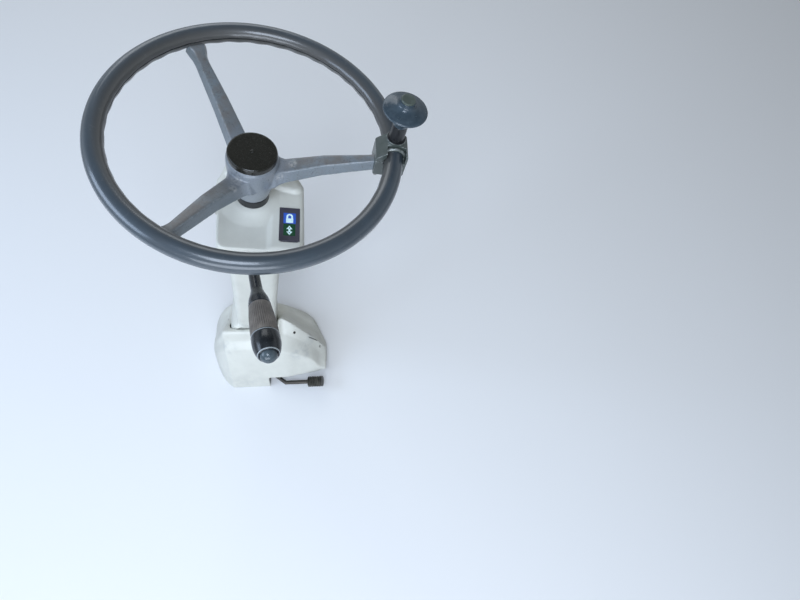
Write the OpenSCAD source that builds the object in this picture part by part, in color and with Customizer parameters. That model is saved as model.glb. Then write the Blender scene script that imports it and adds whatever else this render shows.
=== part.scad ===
// Tilting steering column of a wheeled machine, with its wheel, spinner knob,
// combination lever, release pedal and moulded covers.
// Millimetres. +Z up, +Y towards the front of the machine, +X to its right.
// The origin is the centre of the floor bolts, on the underside of the base plate,
// where the line of the column meets the floor.

/* [Column] */
// Lean of the column towards the driver, in degrees
lean = 9.5; // [6:0.5:14]
// Tilt of the column from where it stands, away from the driver
tilt_away = 9; // [4:0.5:9]
// Tilt of the column from where it stands, towards the driver
tilt_near = 7; // [3:0.5:7]
// Height of the tilt pivot above the floor
pivot_z = 120; // [114:1:128]
// Distance from the tilt pivot to the plane of the rim, along the column
wheel_l = 577.5; // [550:0.5:610]
// Radius of the column tube
tube_r = 20; // [18:0.5:21]
// Wall of the column tube
tube_wall = 3; // [2:0.5:4]
// Radius of the steering shaft
shaft_r = 10; // [8.5:0.5:11]
// Radius of the spline on the shaft's lower end
spline_r = 9; // [7:0.5:10]
// Height of that end above the pivot
shaft_end = 12; // [10:1:16]
// Length of the spline
spline_l = 20; // [14:1:22]

/* [Wheel] */
// Radius of the circle through the middle of the grip
rim_r = 186; // [176:1:196]
// Radius of the grip's section
grip_r = 13; // [11:0.5:14]
// Depth of the hub cap's top below the plane of the rim
dish = 28; // [22:1:34]
// Radius of the hub cap
cap_r = 33.5; // [31:0.5:35]
// Height of the hub cap
cap_h = 10; // [8:0.5:14]
// Largest radius of the cast hub
hub_r = 35.5; // [35:0.5:38]
// Radius of the hub's lower end
hub_foot_r = 24; // [22:0.5:26]
// Height of the cast hub
hub_h = 77.5; // [74:0.5:80]
// Width of a spoke at the hub, across its foot
spoke_w_hub = 31; // [26:1:36]
// Width of a spoke at the rim, across its foot
spoke_w_rim = 19; // [15:1:22]
// Slope of a spoke's sides, taken off the top on each side
spoke_draft = 4; // [2:0.5:6]
// Widening of a spoke where it meets the rim
spoke_pad = 11; // [6:1:12]
// Turn of the first spoke from the machine's right
spoke_turn = 28; // [20:1:36]
// Number of spokes
spokes = 3; // [3:1:3]

/* [Spinner knob] */
// Turn of the knob from the machine's right
knob_turn = -91; // [-93:0.5:-89]
// Radius of the knob
knob_r = 29; // [26:0.5:31]
// Height of the knob
knob_h = 44; // [40:1:50]
// Radius of the knob's stem
stem_r = 10.2; // [8:0.2:11]
// Height of the stem between clamp and knob
stem_h = 26; // [18:1:34]
// Length of the clamp along the rim
clamp_w = 36; // [32:1:40]
// Thickness of the clamp outside the grip
clamp_wall = 6; // [5:0.5:9]

/* [Covers] */
// Wall of the moulded covers
wall = 3; // [2.5:0.25:4]
// Width of the neck cover, across the machine
neck_w = 84; // [80:1:92]
// Depth of the neck cover, along the machine
neck_d = 86; // [82:1:92]
// Shift of the neck cover towards the driver from the line of the column
neck_back = 3; // [0:0.5:5]
// Corner radius of the neck cover
neck_corner = 14; // [8:1:20]
// Depth of the head's top face below the plane of the rim
head_top = 134; // [130:1:140]
// Height of the head's upper shell
head_upper_h = 30; // [26:1:34]
// Height of the head's lower shell down to its taper
head_lower_h = 24; // [20:1:30]
// Height of the head's taper down to the neck
head_taper_h = 44; // [36:1:54]
// Radius of the collar under the hub
collar_r = 25.5; // [24:0.5:27]
// Height of the boss on the head that the collar stands on
boss_rise = 10.5; // [8:0.5:12]
// Gap between the neck cover and the foot cover's collar, at the sides
collar_gap = 2.5; // [2:0.25:3.5]

/* [Lever] */
// Length of the lever from the head to the tip of its button
lever_l = 195; // [185:1:205]
// Largest radius of the grip
lever_grip_r = 19; // [17:0.5:20]
// Radius of the stalk
lever_stalk_r = 6.5; // [5:0.5:8]
// Rise of the lever, in degrees
lever_rise = 20; // [14:1:24]
// Sweep of the lever towards the driver, in degrees
lever_sweep = 10; // [6:1:16]

/* [Release pedal] */
// Radius of the pedal's rod
rod_r = 4.5; // [4:0.5:6]
// Radius of the rubber sleeve
sleeve_r = 11; // [9:0.5:13]
// Length of the rubber sleeve
sleeve_l = 26; // [20:1:32]
// Height of the pedal's pivot above the floor
pedal_z = 18; // [16:1:20]
// Height of the rubber sleeve above the floor
sleeve_z = 31; // [28:1:34]

/* [Base] */
// Thickness of the base plate
plate_t = 8; // [6:1:12]
// Distance between the floor bolts across the machine
bolt_dx = 110; // [104:1:116]
// Distance between the floor bolts along the machine
bolt_dy = 96; // [90:1:104]
// Radius of the floor bolt holes
bolt_r = 5.5; // [4:0.5:7]
// Radius of the opening for the steering valve
valve_r = 24; // [20:1:25]
// Thickness of the pivot bracket's ears
ear_t = 8; // [6:1:9]
// Radius of the pivot pins
pin_r = 8; // [6:0.5:9]

/* [Hidden] */
$fn = 64;

// Shift of the stem along the rim from the clamp's middle, its boss and its pin
stem_shift = 8;
boss_h = 3;
stem_pin_r = 5;
knob_post_r = 9.8;
knob_pad_h = 3;
knob_roof = 22;

// Clearances
fit = 0.3;
pin_fit = 0.08;
side_fit = 1;

// Colours
cream = "#e6e0cd";
cast_gray = "#7b7672";
rim_gray = "#4b5058";
black = "#1d1d1f";
steel = "#9a9c9e";
grip_brown = "#6d6660";
clamp_green = "#525a55";

// Places along the column, above the pivot
hub_top = wheel_l - dish - cap_h;
hub_foot = hub_top - hub_h;
hub_flare = hub_r - hub_foot_r;
head_z = wheel_l - head_top;
boss_top = head_z + boss_rise;
head_split = head_z - head_upper_h;
head_low = head_split - head_lower_h;
neck_top = head_low - head_taper_h;
pivot_y = -pivot_z * tan(lean);

// Barrel at the neck cover's lower end: its radius, its corners and its depth below the pivot
knuckle_r = neck_d / 2 + 7;
knuckle_corner = 10;
skirt_h = 30;

// Pivot bracket and fork
fork_t = 7;
pin_head_t = 2.5;
ear_in = neck_w / 2 - wall - ear_t - 2 * pin_head_t;
fork_in = ear_in - side_fit - fork_t;
ear_top_r = 17;
ear_waist = 27;
fork_r = 16;
fork_h = 46;
fork_collar_h = 24;
bearing_h = 9;

// Outline of the head, seen along the column: centres of its rounded corners
head_r = 14;
head_centres = [[-76, -64], [26, -62], [52, -46], [72, -28], [72, 8], [54, 27], [28, 35], [-76, 31]];
head_left = head_centres[0][0] - head_r;

// Sections of the foot cover from front to back: place along the machine, half width at
// the floor, half width and height of the edge on the left side, half width and height of
// the ridge, the way the wall leans in from this section's place, and on the lower right
// side the half width at the floor and the half width and height of the edge
foot_sections = [
    [86, 34, 30, 8, 20, 13, -1, 6, 2, 7],
    [81, 56, 44, 30, 30, 36, -1, 38, 24, 24],
    [70, 84, 60, 58, 36, 68, -1, 60, 36, 46],
    [56, 108, 68, 84, 42, 100, -1, 72, 42, 66],
    [42, 121, 73, 104, 48, 132, -1, 77, 45, 78],
    [31, 124, 76, 113, 52, 151, -1, 78, 48, 84],
    [-26, 124, 77, 114, 52, 152, 0, 78, 50, 84],
    [-82, 124, 78, 104, 42, 151, 0, 73, 42, 80],
    [-104, 120, 80, 90, 37, 134, 1, 66, 36, 62],
    [-124, 117, 82, 76, 37, 103, 1, 55, 30, 44],
    [-142, 115, 82, 64, 37, 78, 1, 38, 20, 32],
    [-158, 111, 80, 51, 37, 54, 1, 4, -6, 18],
    [-171, 104, 75, 34, 40, 34, 1, -28, -30, 12]];
foot_split = -6;
pedal_cut_h = 28;
pedal_cut_y = -44;

// Left edge of the base plate beside the pedal
plate_notch = -86;

// Release pedal
pedal_y = -20;
pedal_x = -96;
pedal_rod = [[pedal_x, pedal_y, pedal_z], [pedal_x, -46, pedal_z], [-122, -80, pedal_z],
    [-126, -150, sleeve_z]];
pedal_hub_w = 10;
pedal_foot_t = 4;
pedal_hub_r = 9;
pedal_cheek_x = -90;
pedal_cheek_t = 6;
pedal_cheek_h = 30;
pedal_foot_w = 40;
pedal_foot_d = 36;
pedal_pin_l = 18;
sleeve_ribs = 7;

// Tell-tale panel: its middle on the head, its size and the step of its edge
panel_at = [-45, -55];
panel_size = [60, 30];
panel_t = 1.5;
panel_edge = 2;

// Lever's place on the head
lever_y = -2;
grip_start = lever_l - 131;
band_start = lever_l - 47;
end_start = lever_l - 19;
grip_l = band_start - grip_start;
lever_pin_r = 3;
ball_r = 14;
socket_t = 2.7;
button_r = 9.5;

// Moves its children into the column's own frame, with the pivot at its origin
module on_column() {
    translate([0, pivot_y, pivot_z])
        rotate([lean, 0, 0])
            children();
}

// Joins rings of points, in order, into one solid
module loft(rings) {
    n = len(rings[0]);
    last = (len(rings) - 1) * n;
    sides = [for (j = [0:len(rings) - 2]) for (i = [0:n - 1])
        let (a = j * n + i, b = j * n + (i + 1) % n) each [[a, b + n, b], [a, a + n, b + n]]];
    ends = [[for (i = [0:n - 1]) i], [for (i = [n - 1:-1:0]) last + i]];
    polyhedron(points = [for (ring = rings) each ring], faces = concat(sides, ends));
}

module rounded_rect(w, d, r) {
    square([w - 2 * r, d], center = true);
    square([w, d - 2 * r], center = true);
    for (x = [-1, 1], y = [-1, 1])
        translate([x * (w / 2 - r), y * (d / 2 - r)])
            circle(r);
}

// The way each side of an outline faces, in degrees, from the centres of its corners
function faces_of(centres) =
    [for (i = [0:len(centres) - 1])
        let (d = centres[(i + 1) % len(centres)] - centres[i]) atan2(-d[0], d[1])];
head_faces = faces_of(head_centres);

// A ring with rounded corners: their centres, radius and height, the way its sides face and
// the steps in each corner
function corner_ring(centres, r, z, faces, steps) =
    [for (i = [0:len(centres) - 1])
        let (from = faces[(i + len(centres) - 1) % len(centres)], turn = (faces[i] - from + 720) % 360)
            for (k = [0:steps])
                let (a = from + turn * k / steps)
                    [centres[i][0] + r * cos(a), centres[i][1] + r * sin(a), z]];

// The neck's outline, with as many corners as the head's
neck_centres = [for (c = head_centres)
    [(c[0] > 0 ? 1 : -1) * (neck_w / 2 - neck_corner),
        (c[1] > 0 ? 1 : -1) * (neck_d / 2 - neck_corner) - neck_back]];

function head_ring(z, inset) = corner_ring(head_centres, head_r - inset, z, head_faces, 3);
function neck_ring(z, inset) = corner_ring(neck_centres, neck_corner - inset, z, head_faces, 3);
function set_ring(centres, r, z) = corner_ring(centres, r, z, faces_of(centres), 4);

// Base
// Half the width of the room inside the foot cover at a height, from the half widths at the
// floor and at the edge and from the height of that edge
function foot_room(b, w, h, z) = b - wall - 0.45 * (b - w) * (z + 1) / (h / 2 + 1);

function plate_side(x, k) =
    [for (s = foot_sections)
        [x * (foot_room(s[k], s[k + 1], s[k + 2], plate_t) - fit), s[0] + s[6] * (wall + 2)]];

module base_plate() color(steel) {
    left = plate_side(-1, 1);
    right = plate_side(1, 7);
    last = len(foot_sections) - 2;
    difference() {
        linear_extrude(plate_t)
            polygon(concat([for (i = [1:last]) left[i]], [for (i = [last:-1:1]) right[i]]));
        translate([0, 0, -1])
            cylinder(h = plate_t + 2, r = valve_r);
        for (x = [-1, 1], y = [-1, 1])
            translate([x * bolt_dx / 2, y * bolt_dy / 2, -1])
                cylinder(h = plate_t + 2, r = bolt_r);
        translate([-160, pedal_cut_y - 140, -1])
            cube([160 + plate_notch, 140, plate_t + 2]);
    }
}

module ear_profile() {
    difference() {
        union() {
            translate([pivot_y, pivot_z])
                circle(ear_top_r);
            polygon([[-72, plate_t], [50, plate_t], [50, plate_t + 22],
                [pivot_y + ear_waist, pivot_z - 48],
                [pivot_y + ear_top_r, pivot_z], [pivot_y - ear_top_r, pivot_z],
                [pivot_y - ear_waist + 6, pivot_z - 48], [-72, plate_t + 22]]);
        }
        translate([pivot_y, pivot_z])
            circle(pin_r + pin_fit);
    }
}

module pivot_bracket() color(steel) {
    for (side = [-1, 1])
        translate([side * (ear_in + ear_t / 2), 0, 0])
            rotate([90, 0, 90])
                linear_extrude(ear_t, center = true)
                    ear_profile();
    translate([-ear_in - ear_t / 2, 40, plate_t])
        cube([2 * ear_in + ear_t, 8, 60]);
}

module pivot_pins() color(steel) {
    for (side = [-1, 1])
        translate([side * (fork_in - 2), pivot_y, pivot_z])
            rotate([0, side * 90, 0]) {
                cylinder(h = ear_in + ear_t - fork_in + 2, r = pin_r);
                translate([0, 0, ear_in + ear_t - fork_in + 2])
                    cylinder(h = pin_head_t, r = pin_r + 3);
            }
}

// One section of the foot cover, drawn in by an inset
function foot_ring(s, inset, floor_z) =
    let (y = s[0] + s[6] * inset, b = s[1] - inset, w = s[2] - inset, h = s[3],
        t = s[4] - inset, top = s[5] - 1.4 * inset, rb = s[7] - inset, rw = s[8] - inset, rh = s[9] - inset,
        fall = top - rh)
    [[rb, y, floor_z], [rb - (rb - rw) * 0.45, y, rh * 0.55], [rw, y, rh],
        [(t + rw) * 0.75 - t, y, top - fall * 0.9], [(t + rw) * 0.45 - t, y, top - fall * 0.62],
        [(t + rw) * 0.18 - t, y, top - fall * 0.2], [-t, y, top],
        [(w - t) * 0.1 - (w + t) / 2, y, (h + top) / 2 - (top - h) * 0.1], [-w, y, h],
        [(b - w) * 0.45 - b, y, h * 0.5], [-b, y, floor_z]];

// A point on the curve through a row of points, a share of the way from one to the next
function curve(p, i, u) =
    let (n = len(p) - 1, a = p[max(i - 1, 0)], b = p[i], c = p[min(i + 1, n)], d = p[min(i + 2, n)])
    b + 0.5 * u * (c - a + u * (2 * a - 5 * b + 4 * c - d + u * (3 * b - a - 3 * c + d)));

// A row of points with more points on the curve through them
function curved(p, k) =
    concat([for (i = [0:len(p) - 2]) for (j = [0:k - 1]) curve(p, i, j / k)], [p[len(p) - 1]]);

function foot_rings(sections, inset, floor_z) =
    let (rings = [for (s = sections) curved(foot_ring(s, inset, floor_z), 2)])
    curved(rings, 2);

module foot_shell() {
    last = len(foot_sections) - 1;
    difference() {
        loft(foot_rings(foot_sections, 0, 0));
        loft(foot_rings([for (i = [1:last - 1]) foot_sections[i]], wall, -1));
        translate([0, pivot_y, pivot_z]) {
            knuckle(collar_gap);
            for (tilt = [-tilt_away, tilt_near])
                rotate([lean + tilt, 0, 0])
                    linear_extrude(neck_d)
                        neck_outline(collar_gap);
        }
        translate([-160, pedal_cut_y - 160, -1])
            cube([90, 160, pedal_cut_h + 1]);
    }
}

module foot_cover_left() color(cream) {
    intersection() {
        foot_shell();
        translate([-200, -250, -1])
            cube([200 + foot_split, 400, 250]);
    }
}

module foot_cover_right() color(cream) {
    intersection() {
        foot_shell();
        translate([foot_split, -250, -1])
            cube([200, 400, 250]);
    }
}

// Release pedal
module pedal_bracket() color(steel) {
    translate([pedal_cheek_x, pedal_y - pedal_foot_d / 2, plate_t])
        cube([pedal_foot_w, pedal_foot_d, pedal_foot_t]);
    difference() {
        translate([pedal_cheek_x, pedal_y - pedal_foot_d / 2, plate_t])
            cube([pedal_cheek_t, pedal_foot_d, pedal_cheek_h]);
        translate([pedal_cheek_x - 1, pedal_y, pedal_z])
            rotate([0, 90, 0])
                cylinder(h = pedal_cheek_t + 2, r = rod_r + pin_fit);
    }
}

module pedal_pin() color(steel) {
    translate([pedal_cheek_x + pedal_cheek_t, pedal_y, pedal_z])
        rotate([0, -90, 0]) {
            cylinder(h = pedal_pin_l, r = rod_r);
            translate([0, 0, pedal_pin_l])
                cylinder(h = 2, r = rod_r + 2.5);
        }
}

module pedal_arm() color(steel) {
    difference() {
        union() {
            translate([pedal_x - pedal_hub_w / 2, pedal_y, pedal_z])
                rotate([0, 90, 0])
                    cylinder(h = pedal_hub_w, r = pedal_hub_r);
            loft([for (i = [0:len(pedal_rod) - 1]) rod_ring(i)]);
        }
        translate([pedal_x - pedal_hub_w, pedal_y, pedal_z])
            rotate([0, 90, 0])
                cylinder(h = 2 * pedal_hub_w, r = rod_r + pin_fit);
    }
}

module along(a, b) {
    d = b - a;
    translate(a)
        rotate([0, acos(d[2] / norm(d)), atan2(d[1], d[0])])
            children();
}

// The direction of the pedal's rod on the stretch before one of its points
function rod_way(i) =
    let (k = max(1, min(i, len(pedal_rod) - 1)), d = pedal_rod[k] - pedal_rod[k - 1]) d / norm(d);

// A ring round the pedal's rod at one of its points, turned halfway through the bend
function rod_ring(i) =
    let (d = rod_way(i) + rod_way(i + 1), side = cross(d, [0, 0, 1]), u = side / norm(side),
        v = cross(u, d) / norm(d))
        [for (k = [0:19]) pedal_rod[i] + rod_r * (u * cos(k * 18) - v * sin(k * 18))];

module pedal_sleeve() color(black) {
    last = len(pedal_rod) - 1;
    reach = norm(pedal_rod[last] - pedal_rod[last - 1]);
    along(pedal_rod[last - 1], pedal_rod[last])
        translate([0, 0, reach - sleeve_l + rod_r + 3])
            rotate_extrude()
                polygon(concat([[0, sleeve_l], [0, sleeve_l - 3], [rod_r + fit, sleeve_l - 3],
                    [rod_r + fit, 0]],
                    [for (i = [0:sleeve_ribs - 1]) for (p = [[0, 0.1], [0, 0.55], [-1.4, 0.65], [-1.4, 1]])
                        [sleeve_r + p[0], (i + p[1]) * sleeve_l / sleeve_ribs]]));
}

// Column
module fork_plate() {
    difference() {
        union() {
            circle(fork_r);
            translate([-fork_r, 0])
                square([2 * fork_r, fork_h]);
        }
        circle(pin_r + pin_fit);
    }
}

module column_fork() color(steel) {
    on_column() difference() {
        union() {
            for (side = [-1, 1])
                translate([side * (fork_in + fork_t / 2), 0, 0])
                    rotate([90, 0, 90])
                        linear_extrude(fork_t, center = true)
                            fork_plate();
            translate([0, 0, fork_h - bearing_h])
                cylinder(h = fork_collar_h + bearing_h, r = fork_in + fork_t);
        }
        translate([0, 0, fork_h])
            cylinder(h = fork_collar_h + 1, r = tube_r);
        translate([0, 0, fork_h - bearing_h - 1])
            cylinder(h = bearing_h + 2, r = shaft_r + pin_fit);
    }
}

module column_tube() color(steel) {
    on_column() difference() {
        translate([0, 0, fork_h])
            cylinder(h = boss_top - fork_h, r = tube_r);
        translate([0, 0, fork_h - 1])
            cylinder(h = boss_top - fork_h + 2, r = tube_r - tube_wall);
    }
}

// Barrel at the neck cover's lower end, round the tilt pivot, grown by a gap or drawn in by
// a wall
module knuckle(grow) {
    rotate([0, 90, 0])
        rotate_extrude()
            intersection() {
                rounded_rect(2 * (knuckle_r + grow), neck_w + 2 * grow, knuckle_corner);
                translate([0, -neck_w])
                    square([2 * neck_d, 2 * neck_w]);
            }
}

module neck_outline(grow) {
    translate([0, -neck_back])
        rounded_rect(neck_w + 2 * grow, neck_d + 2 * grow, neck_corner + grow);
}

module neck_solid(inset, z0, z1) {
    linear_extrude(z1)
        neck_outline(-inset);
    intersection() {
        knuckle(-inset);
        translate([-neck_w, -2 * neck_d, z0])
            cube([2 * neck_w, 4 * neck_d, neck_d - z0]);
    }
}

module neck_cover() color(cream) {
    on_column() difference() {
        neck_solid(0, -skirt_h, neck_top);
        translate([0, 0, -0.01])
            neck_solid(wall, -skirt_h - 10, neck_top + 1);
    }
}

module head_lower() color(cream) {
    on_column() difference() {
        loft([neck_ring(neck_top, 0), neck_ring(neck_top + 6, 0), head_ring(head_low, 5),
            head_ring(head_low + 5, 1), head_ring(head_low + 9, 0), head_ring(head_split, 0)]);
        loft([neck_ring(neck_top - 1, wall), neck_ring(neck_top + 6, wall),
            head_ring(head_low + wall, 5 + wall), head_ring(head_low + 9, wall),
            head_ring(head_split + 1, wall)]);
        lever_opening();
    }
}

// Raised far part of the head's top, with a soft step
hump_centres = [[22, -62], [52, -46], [72, -28], [72, 8], [54, 27], [41, 31]];
hump_h = 6;

// Shallow tray in the near part of the head's top
tray_centres = [[-120, -12], [-6, -12], [6, -4], [6, 80], [-120, 80]];
tray_t = 2.5;

module head_top_shape() {
    difference() {
        union() {
            loft([head_ring(head_split, 0), head_ring(head_z - 9, 0), head_ring(head_z - 4, 1.5),
                head_ring(head_z - 1, 4.5), head_ring(head_z, 8)]);
            loft([set_ring(hump_centres, head_r - 0.5, head_z - 9),
                set_ring(hump_centres, head_r - 1.5, head_z - 2),
                set_ring(hump_centres, head_r - 4, head_z + 2),
                set_ring(hump_centres, head_r - 7, head_z + hump_h - 1.5),
                set_ring(hump_centres, head_r - 11, head_z + hump_h)]);
        }
        loft([set_ring(tray_centres, 2, head_z - tray_t), set_ring(tray_centres, 4, head_z - tray_t + 0.5),
            set_ring(tray_centres, 12, head_z + 1)]);
    }
    translate([0, 0, head_z - tray_t - 1])
        cylinder(h = boss_rise + tray_t + 1, r1 = collar_r + 5, r2 = collar_r);
}

module head_upper() color(cream) {
    on_column() difference() {
        head_top_shape();
        loft([head_ring(head_split - 1, wall), head_ring(head_z - 10, wall),
            head_ring(head_z - wall - tray_t, 9)]);
        translate([0, 0, head_z - 20])
            cylinder(h = 20 + 2 * boss_rise, r = tube_r + fit);
        translate([panel_at[0], panel_at[1], head_z - 20])
            linear_extrude(30)
                panel_shape(panel_edge);
        lever_opening();
    }
}

module shaft_collar() color(black) {
    on_column() difference() {
        translate([0, 0, boss_top])
            cylinder(h = hub_foot - boss_top - fit, r = collar_r);
        translate([0, 0, boss_top - 1])
            cylinder(h = hub_foot - boss_top + 2, r = shaft_r + pin_fit);
    }
}

// Outline of the panel, drawn in by an inset
module panel_shape(inset) {
    square([panel_size[0] - 2 * inset, panel_size[1] - 2 * inset], center = true);
}

module telltale_panel() color(black) {
    on_column()
        translate([panel_at[0], panel_at[1], head_z]) {
            linear_extrude(panel_t)
                panel_shape(0);
            translate([0, 0, -wall])
                linear_extrude(wall)
                    panel_shape(panel_edge + fit);
        }
}

// Moves its children to the lever's root on the head, with the lever along +Z
module lever_place() {
    translate([head_left, lever_y, head_split])
        rotate([0, 0, 180 + lever_sweep])
            rotate([0, 90 - lever_rise, 0])
                children();
}

module on_lever() {
    on_column() lever_place() children();
}

module lever_opening() {
    lever_place()
        sphere(ball_r + socket_t + 2 * fit);
}

module lever_socket() color(black) {
    difference() {
        on_lever() difference() {
            sphere(ball_r + socket_t + fit);
            sphere(ball_r + fit);
            translate([0, 0, 5])
                cylinder(h = 20, r = ball_r - 1);
            translate([-30, -30, -60])
                cube([60, 60, 50]);
        }
        on_column()
            translate([head_left, lever_y, head_split - 2 * ball_r])
                cylinder(h = 4 * ball_r, r = lever_pin_r);
    }
}

// Stands along the column through the lever's ball
module lever_pin() color(steel) {
    on_column()
        translate([head_left, lever_y, head_split - ball_r - fit - socket_t / 2])
            cylinder(h = 2 * ball_r + 2 * fit + socket_t, r = lever_pin_r);
}

// Wheel
module steering_shaft() color(steel) {
    on_column() {
        translate([0, 0, shaft_end])
            cylinder(h = spline_l + 1, r = spline_r);
        translate([0, 0, shaft_end + spline_l])
            cylinder(h = hub_top - shaft_end - spline_l, r = shaft_r);
    }
}

module hub_body() {
    rotate_extrude()
        polygon([[0, hub_foot], [hub_foot_r, hub_foot],
            [hub_foot_r + hub_flare * 0.2, hub_foot + hub_h * 0.12],
            [hub_foot_r + hub_flare * 0.56, hub_foot + hub_h * 0.32],
            [hub_foot_r + hub_flare * 0.86, hub_foot + hub_h * 0.56], [hub_r, hub_foot + hub_h * 0.78],
            [hub_r, hub_top - 4], [cap_r, hub_top], [0, hub_top]]);
}

// One section of a spoke: distance out, height of its top, thickness, width at its foot
function spoke_ring(r, z, t, w) =
    [[r, -w / 2, z - t], [r, w / 2, z - t], [r, w / 2, z - t + 3],
        [r, w / 2 - spoke_draft, z], [r, -w / 2 + spoke_draft, z], [r, -w / 2, z - t + 3]];

// A spoke with its flared pad at the rim, or the pocket that it fills, grown by a clearance
module spoke(grow) {
    out = rim_r - grip_r;
    loft([for (s = [[14, hub_top - 16, 26, spoke_w_hub + 6],
        [hub_r + 6, hub_top - 12, 21.5, spoke_w_hub],
        [out * 0.55, wheel_l - 29, 17.5, (spoke_w_hub + spoke_w_rim) / 2 + 1],
        [out - 16, wheel_l - 12, 15, spoke_w_rim + 1],
        [out - 7, wheel_l - 8.5, 14.5, spoke_w_rim + spoke_pad / 4],
        [out - 1, wheel_l - 5.5, 14, spoke_w_rim + spoke_pad * 0.7],
        [out + 6, wheel_l - 4, 13, spoke_w_rim + spoke_pad]])
        spoke_ring(s[0], s[1] + grow, s[2] + 2 * grow, s[3] + 2 * grow)]);
}

module grip_ring(extra = 0) {
    translate([0, 0, wheel_l])
        rotate_extrude($fn = 96)
            translate([rim_r, 0])
                circle(grip_r + extra);
}

module wheel_spider() color(cast_gray) {
    on_column() difference() {
        union() {
            hub_body();
            for (i = [0:spokes - 1])
                rotate([0, 0, spoke_turn + i * 360 / spokes])
                    spoke(0);
        }
        grip_ring();
        translate([0, 0, hub_foot - 1])
            cylinder(h = hub_h + 2, r = shaft_r);
    }
}

module wheel_rim() color(rim_gray) {
    on_column() grip_ring();
}

module hub_cap() color(black) {
    on_column()
        translate([0, 0, hub_top])
            rotate_extrude()
                polygon([[0, 0], [cap_r, 0], [cap_r, cap_h - 4], [cap_r - 2.5, cap_h - 0.8],
                    [cap_r - 4, cap_h], [0, cap_h]]);
}

// Moves its children to the clamp, with +X outwards and the rim's middle at the origin
module at_clamp() {
    on_column()
        rotate([0, 0, knob_turn])
            translate([rim_r, 0, wheel_l])
                children();
}

// The clamp's reach inside and outside the middle of the grip, and above and below it
clamp_in = grip_r + 12;
clamp_out = grip_r + clamp_wall - 1.5;
clamp_top = grip_r + clamp_wall;
clamp_low = grip_r + clamp_wall + 8;
clamp_bolt_in = 5;
clamp_bolt_h = 4;
clamp_bolt_r = 3.5;

// Rounded outline of the clamp, seen along the rim
module clamp_outline() {
    hull() {
        translate([clamp_out - 6, clamp_top - 8])
            circle(6);
        translate([clamp_out - 5, -clamp_low + 5])
            circle(5);
        translate([-clamp_in + 4, clamp_top - 15])
            circle(4);
        translate([-clamp_in + 3, -clamp_low + 3])
            circle(3);
        translate([-8, clamp_top - 5])
            circle(5);
        translate([3, clamp_top - 5])
            circle(5);
    }
}

module clamp_length(half) {
    rotate([0, 0, knob_turn])
        translate([rim_r, 0, wheel_l])
            rotate([90, 0, 0])
                linear_extrude(clamp_w, center = true)
                    intersection() {
                        clamp_outline();
                        translate([-60, half > 0 ? fit : -60 - fit])
                            square([120, 60]);
                    }
}

module knob_clamp() color(clamp_green) {
    on_column() difference() {
        union() {
            clamp_length(1);
            rotate([0, 0, knob_turn])
                translate([rim_r, stem_shift, wheel_l + grip_r + 1])
                    cylinder(h = clamp_wall + boss_h - 1, r = stem_r + 3);
        }
        grip_ring(fit);
        rotate([0, 0, knob_turn])
            translate([rim_r, stem_shift, wheel_l + clamp_top - 2])
                cylinder(h = boss_h + 4, r = stem_pin_r);
    }
}

module clamp_strap() color(clamp_green) {
    on_column() difference() {
        clamp_length(-1);
        grip_ring(fit);
        for (i = [0:spokes - 1])
            rotate([0, 0, spoke_turn + i * 360 / spokes])
                spoke(fit);
    }
}

module clamp_bolts() color(steel) {
    at_clamp()
        for (y = [-1, 1])
            translate([clamp_bolt_in - clamp_in, y * (clamp_w / 2 - clamp_bolt_in),
                -clamp_low - clamp_bolt_h])
                cylinder(h = clamp_bolt_h, r = clamp_bolt_r, $fn = 6);
}

// Heights above the middle of the grip of the stem's foot and of the knob
stem_z = clamp_top + boss_h;
knob_z = stem_z + stem_h;

module knob_stem() color(clamp_green) {
    at_clamp() translate([0, stem_shift, 0]) {
        translate([0, 0, clamp_top - 2])
            cylinder(h = boss_h + 3, r = stem_pin_r);
        translate([0, 0, stem_z])
            cylinder(h = stem_h, r = stem_r);
        translate([0, 0, stem_z])
            cylinder(h = stem_h + knob_h - knob_roof - 2, r = stem_pin_r);
    }
}

module spinner_knob() color(rim_gray) {
    at_clamp() translate([0, stem_shift, 0])
        rotate_extrude()
            polygon([[stem_pin_r + pin_fit, knob_z + side_fit], [stem_r + 1, knob_z + side_fit],
                [stem_r + 1.5, knob_z + 6], [stem_r + 5, knob_z + 12], [knob_r - 6, knob_z + 19],
                [knob_r - 1, knob_z + 23.5], [knob_r, knob_z + 25.5], [knob_r - 0.6, knob_z + 27],
                [knob_r - 3, knob_z + 28], [knob_r - 10, knob_z + 30.4], [knob_post_r + 3, knob_z + 33.2],
                [knob_post_r + 0.8, knob_z + 35.4], [knob_post_r, knob_z + 37.5],
                [knob_post_r, knob_z + knob_h - knob_pad_h], [0, knob_z + knob_h - knob_pad_h],
                [0, knob_z + knob_h - knob_roof], [stem_pin_r + pin_fit, knob_z + knob_h - knob_roof]]);
}

module knob_button() color(black) {
    at_clamp() translate([0, stem_shift, 0])
        rotate_extrude()
            polygon([[0, knob_z + knob_h - knob_pad_h], [knob_post_r - 0.6, knob_z + knob_h - knob_pad_h],
                [knob_post_r - 0.6, knob_z + knob_h - 0.8], [knob_post_r - 1.4, knob_z + knob_h],
                [0, knob_z + knob_h]]);
}

// Combination lever
module lever_stalk() color(black) {
    difference() {
        on_lever() {
            sphere(ball_r);
            cylinder(h = grip_start, r = lever_stalk_r);
        }
        on_column()
            translate([head_left, lever_y, head_split - 2 * ball_r])
                cylinder(h = 4 * ball_r, r = lever_pin_r + pin_fit);
    }
}

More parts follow.
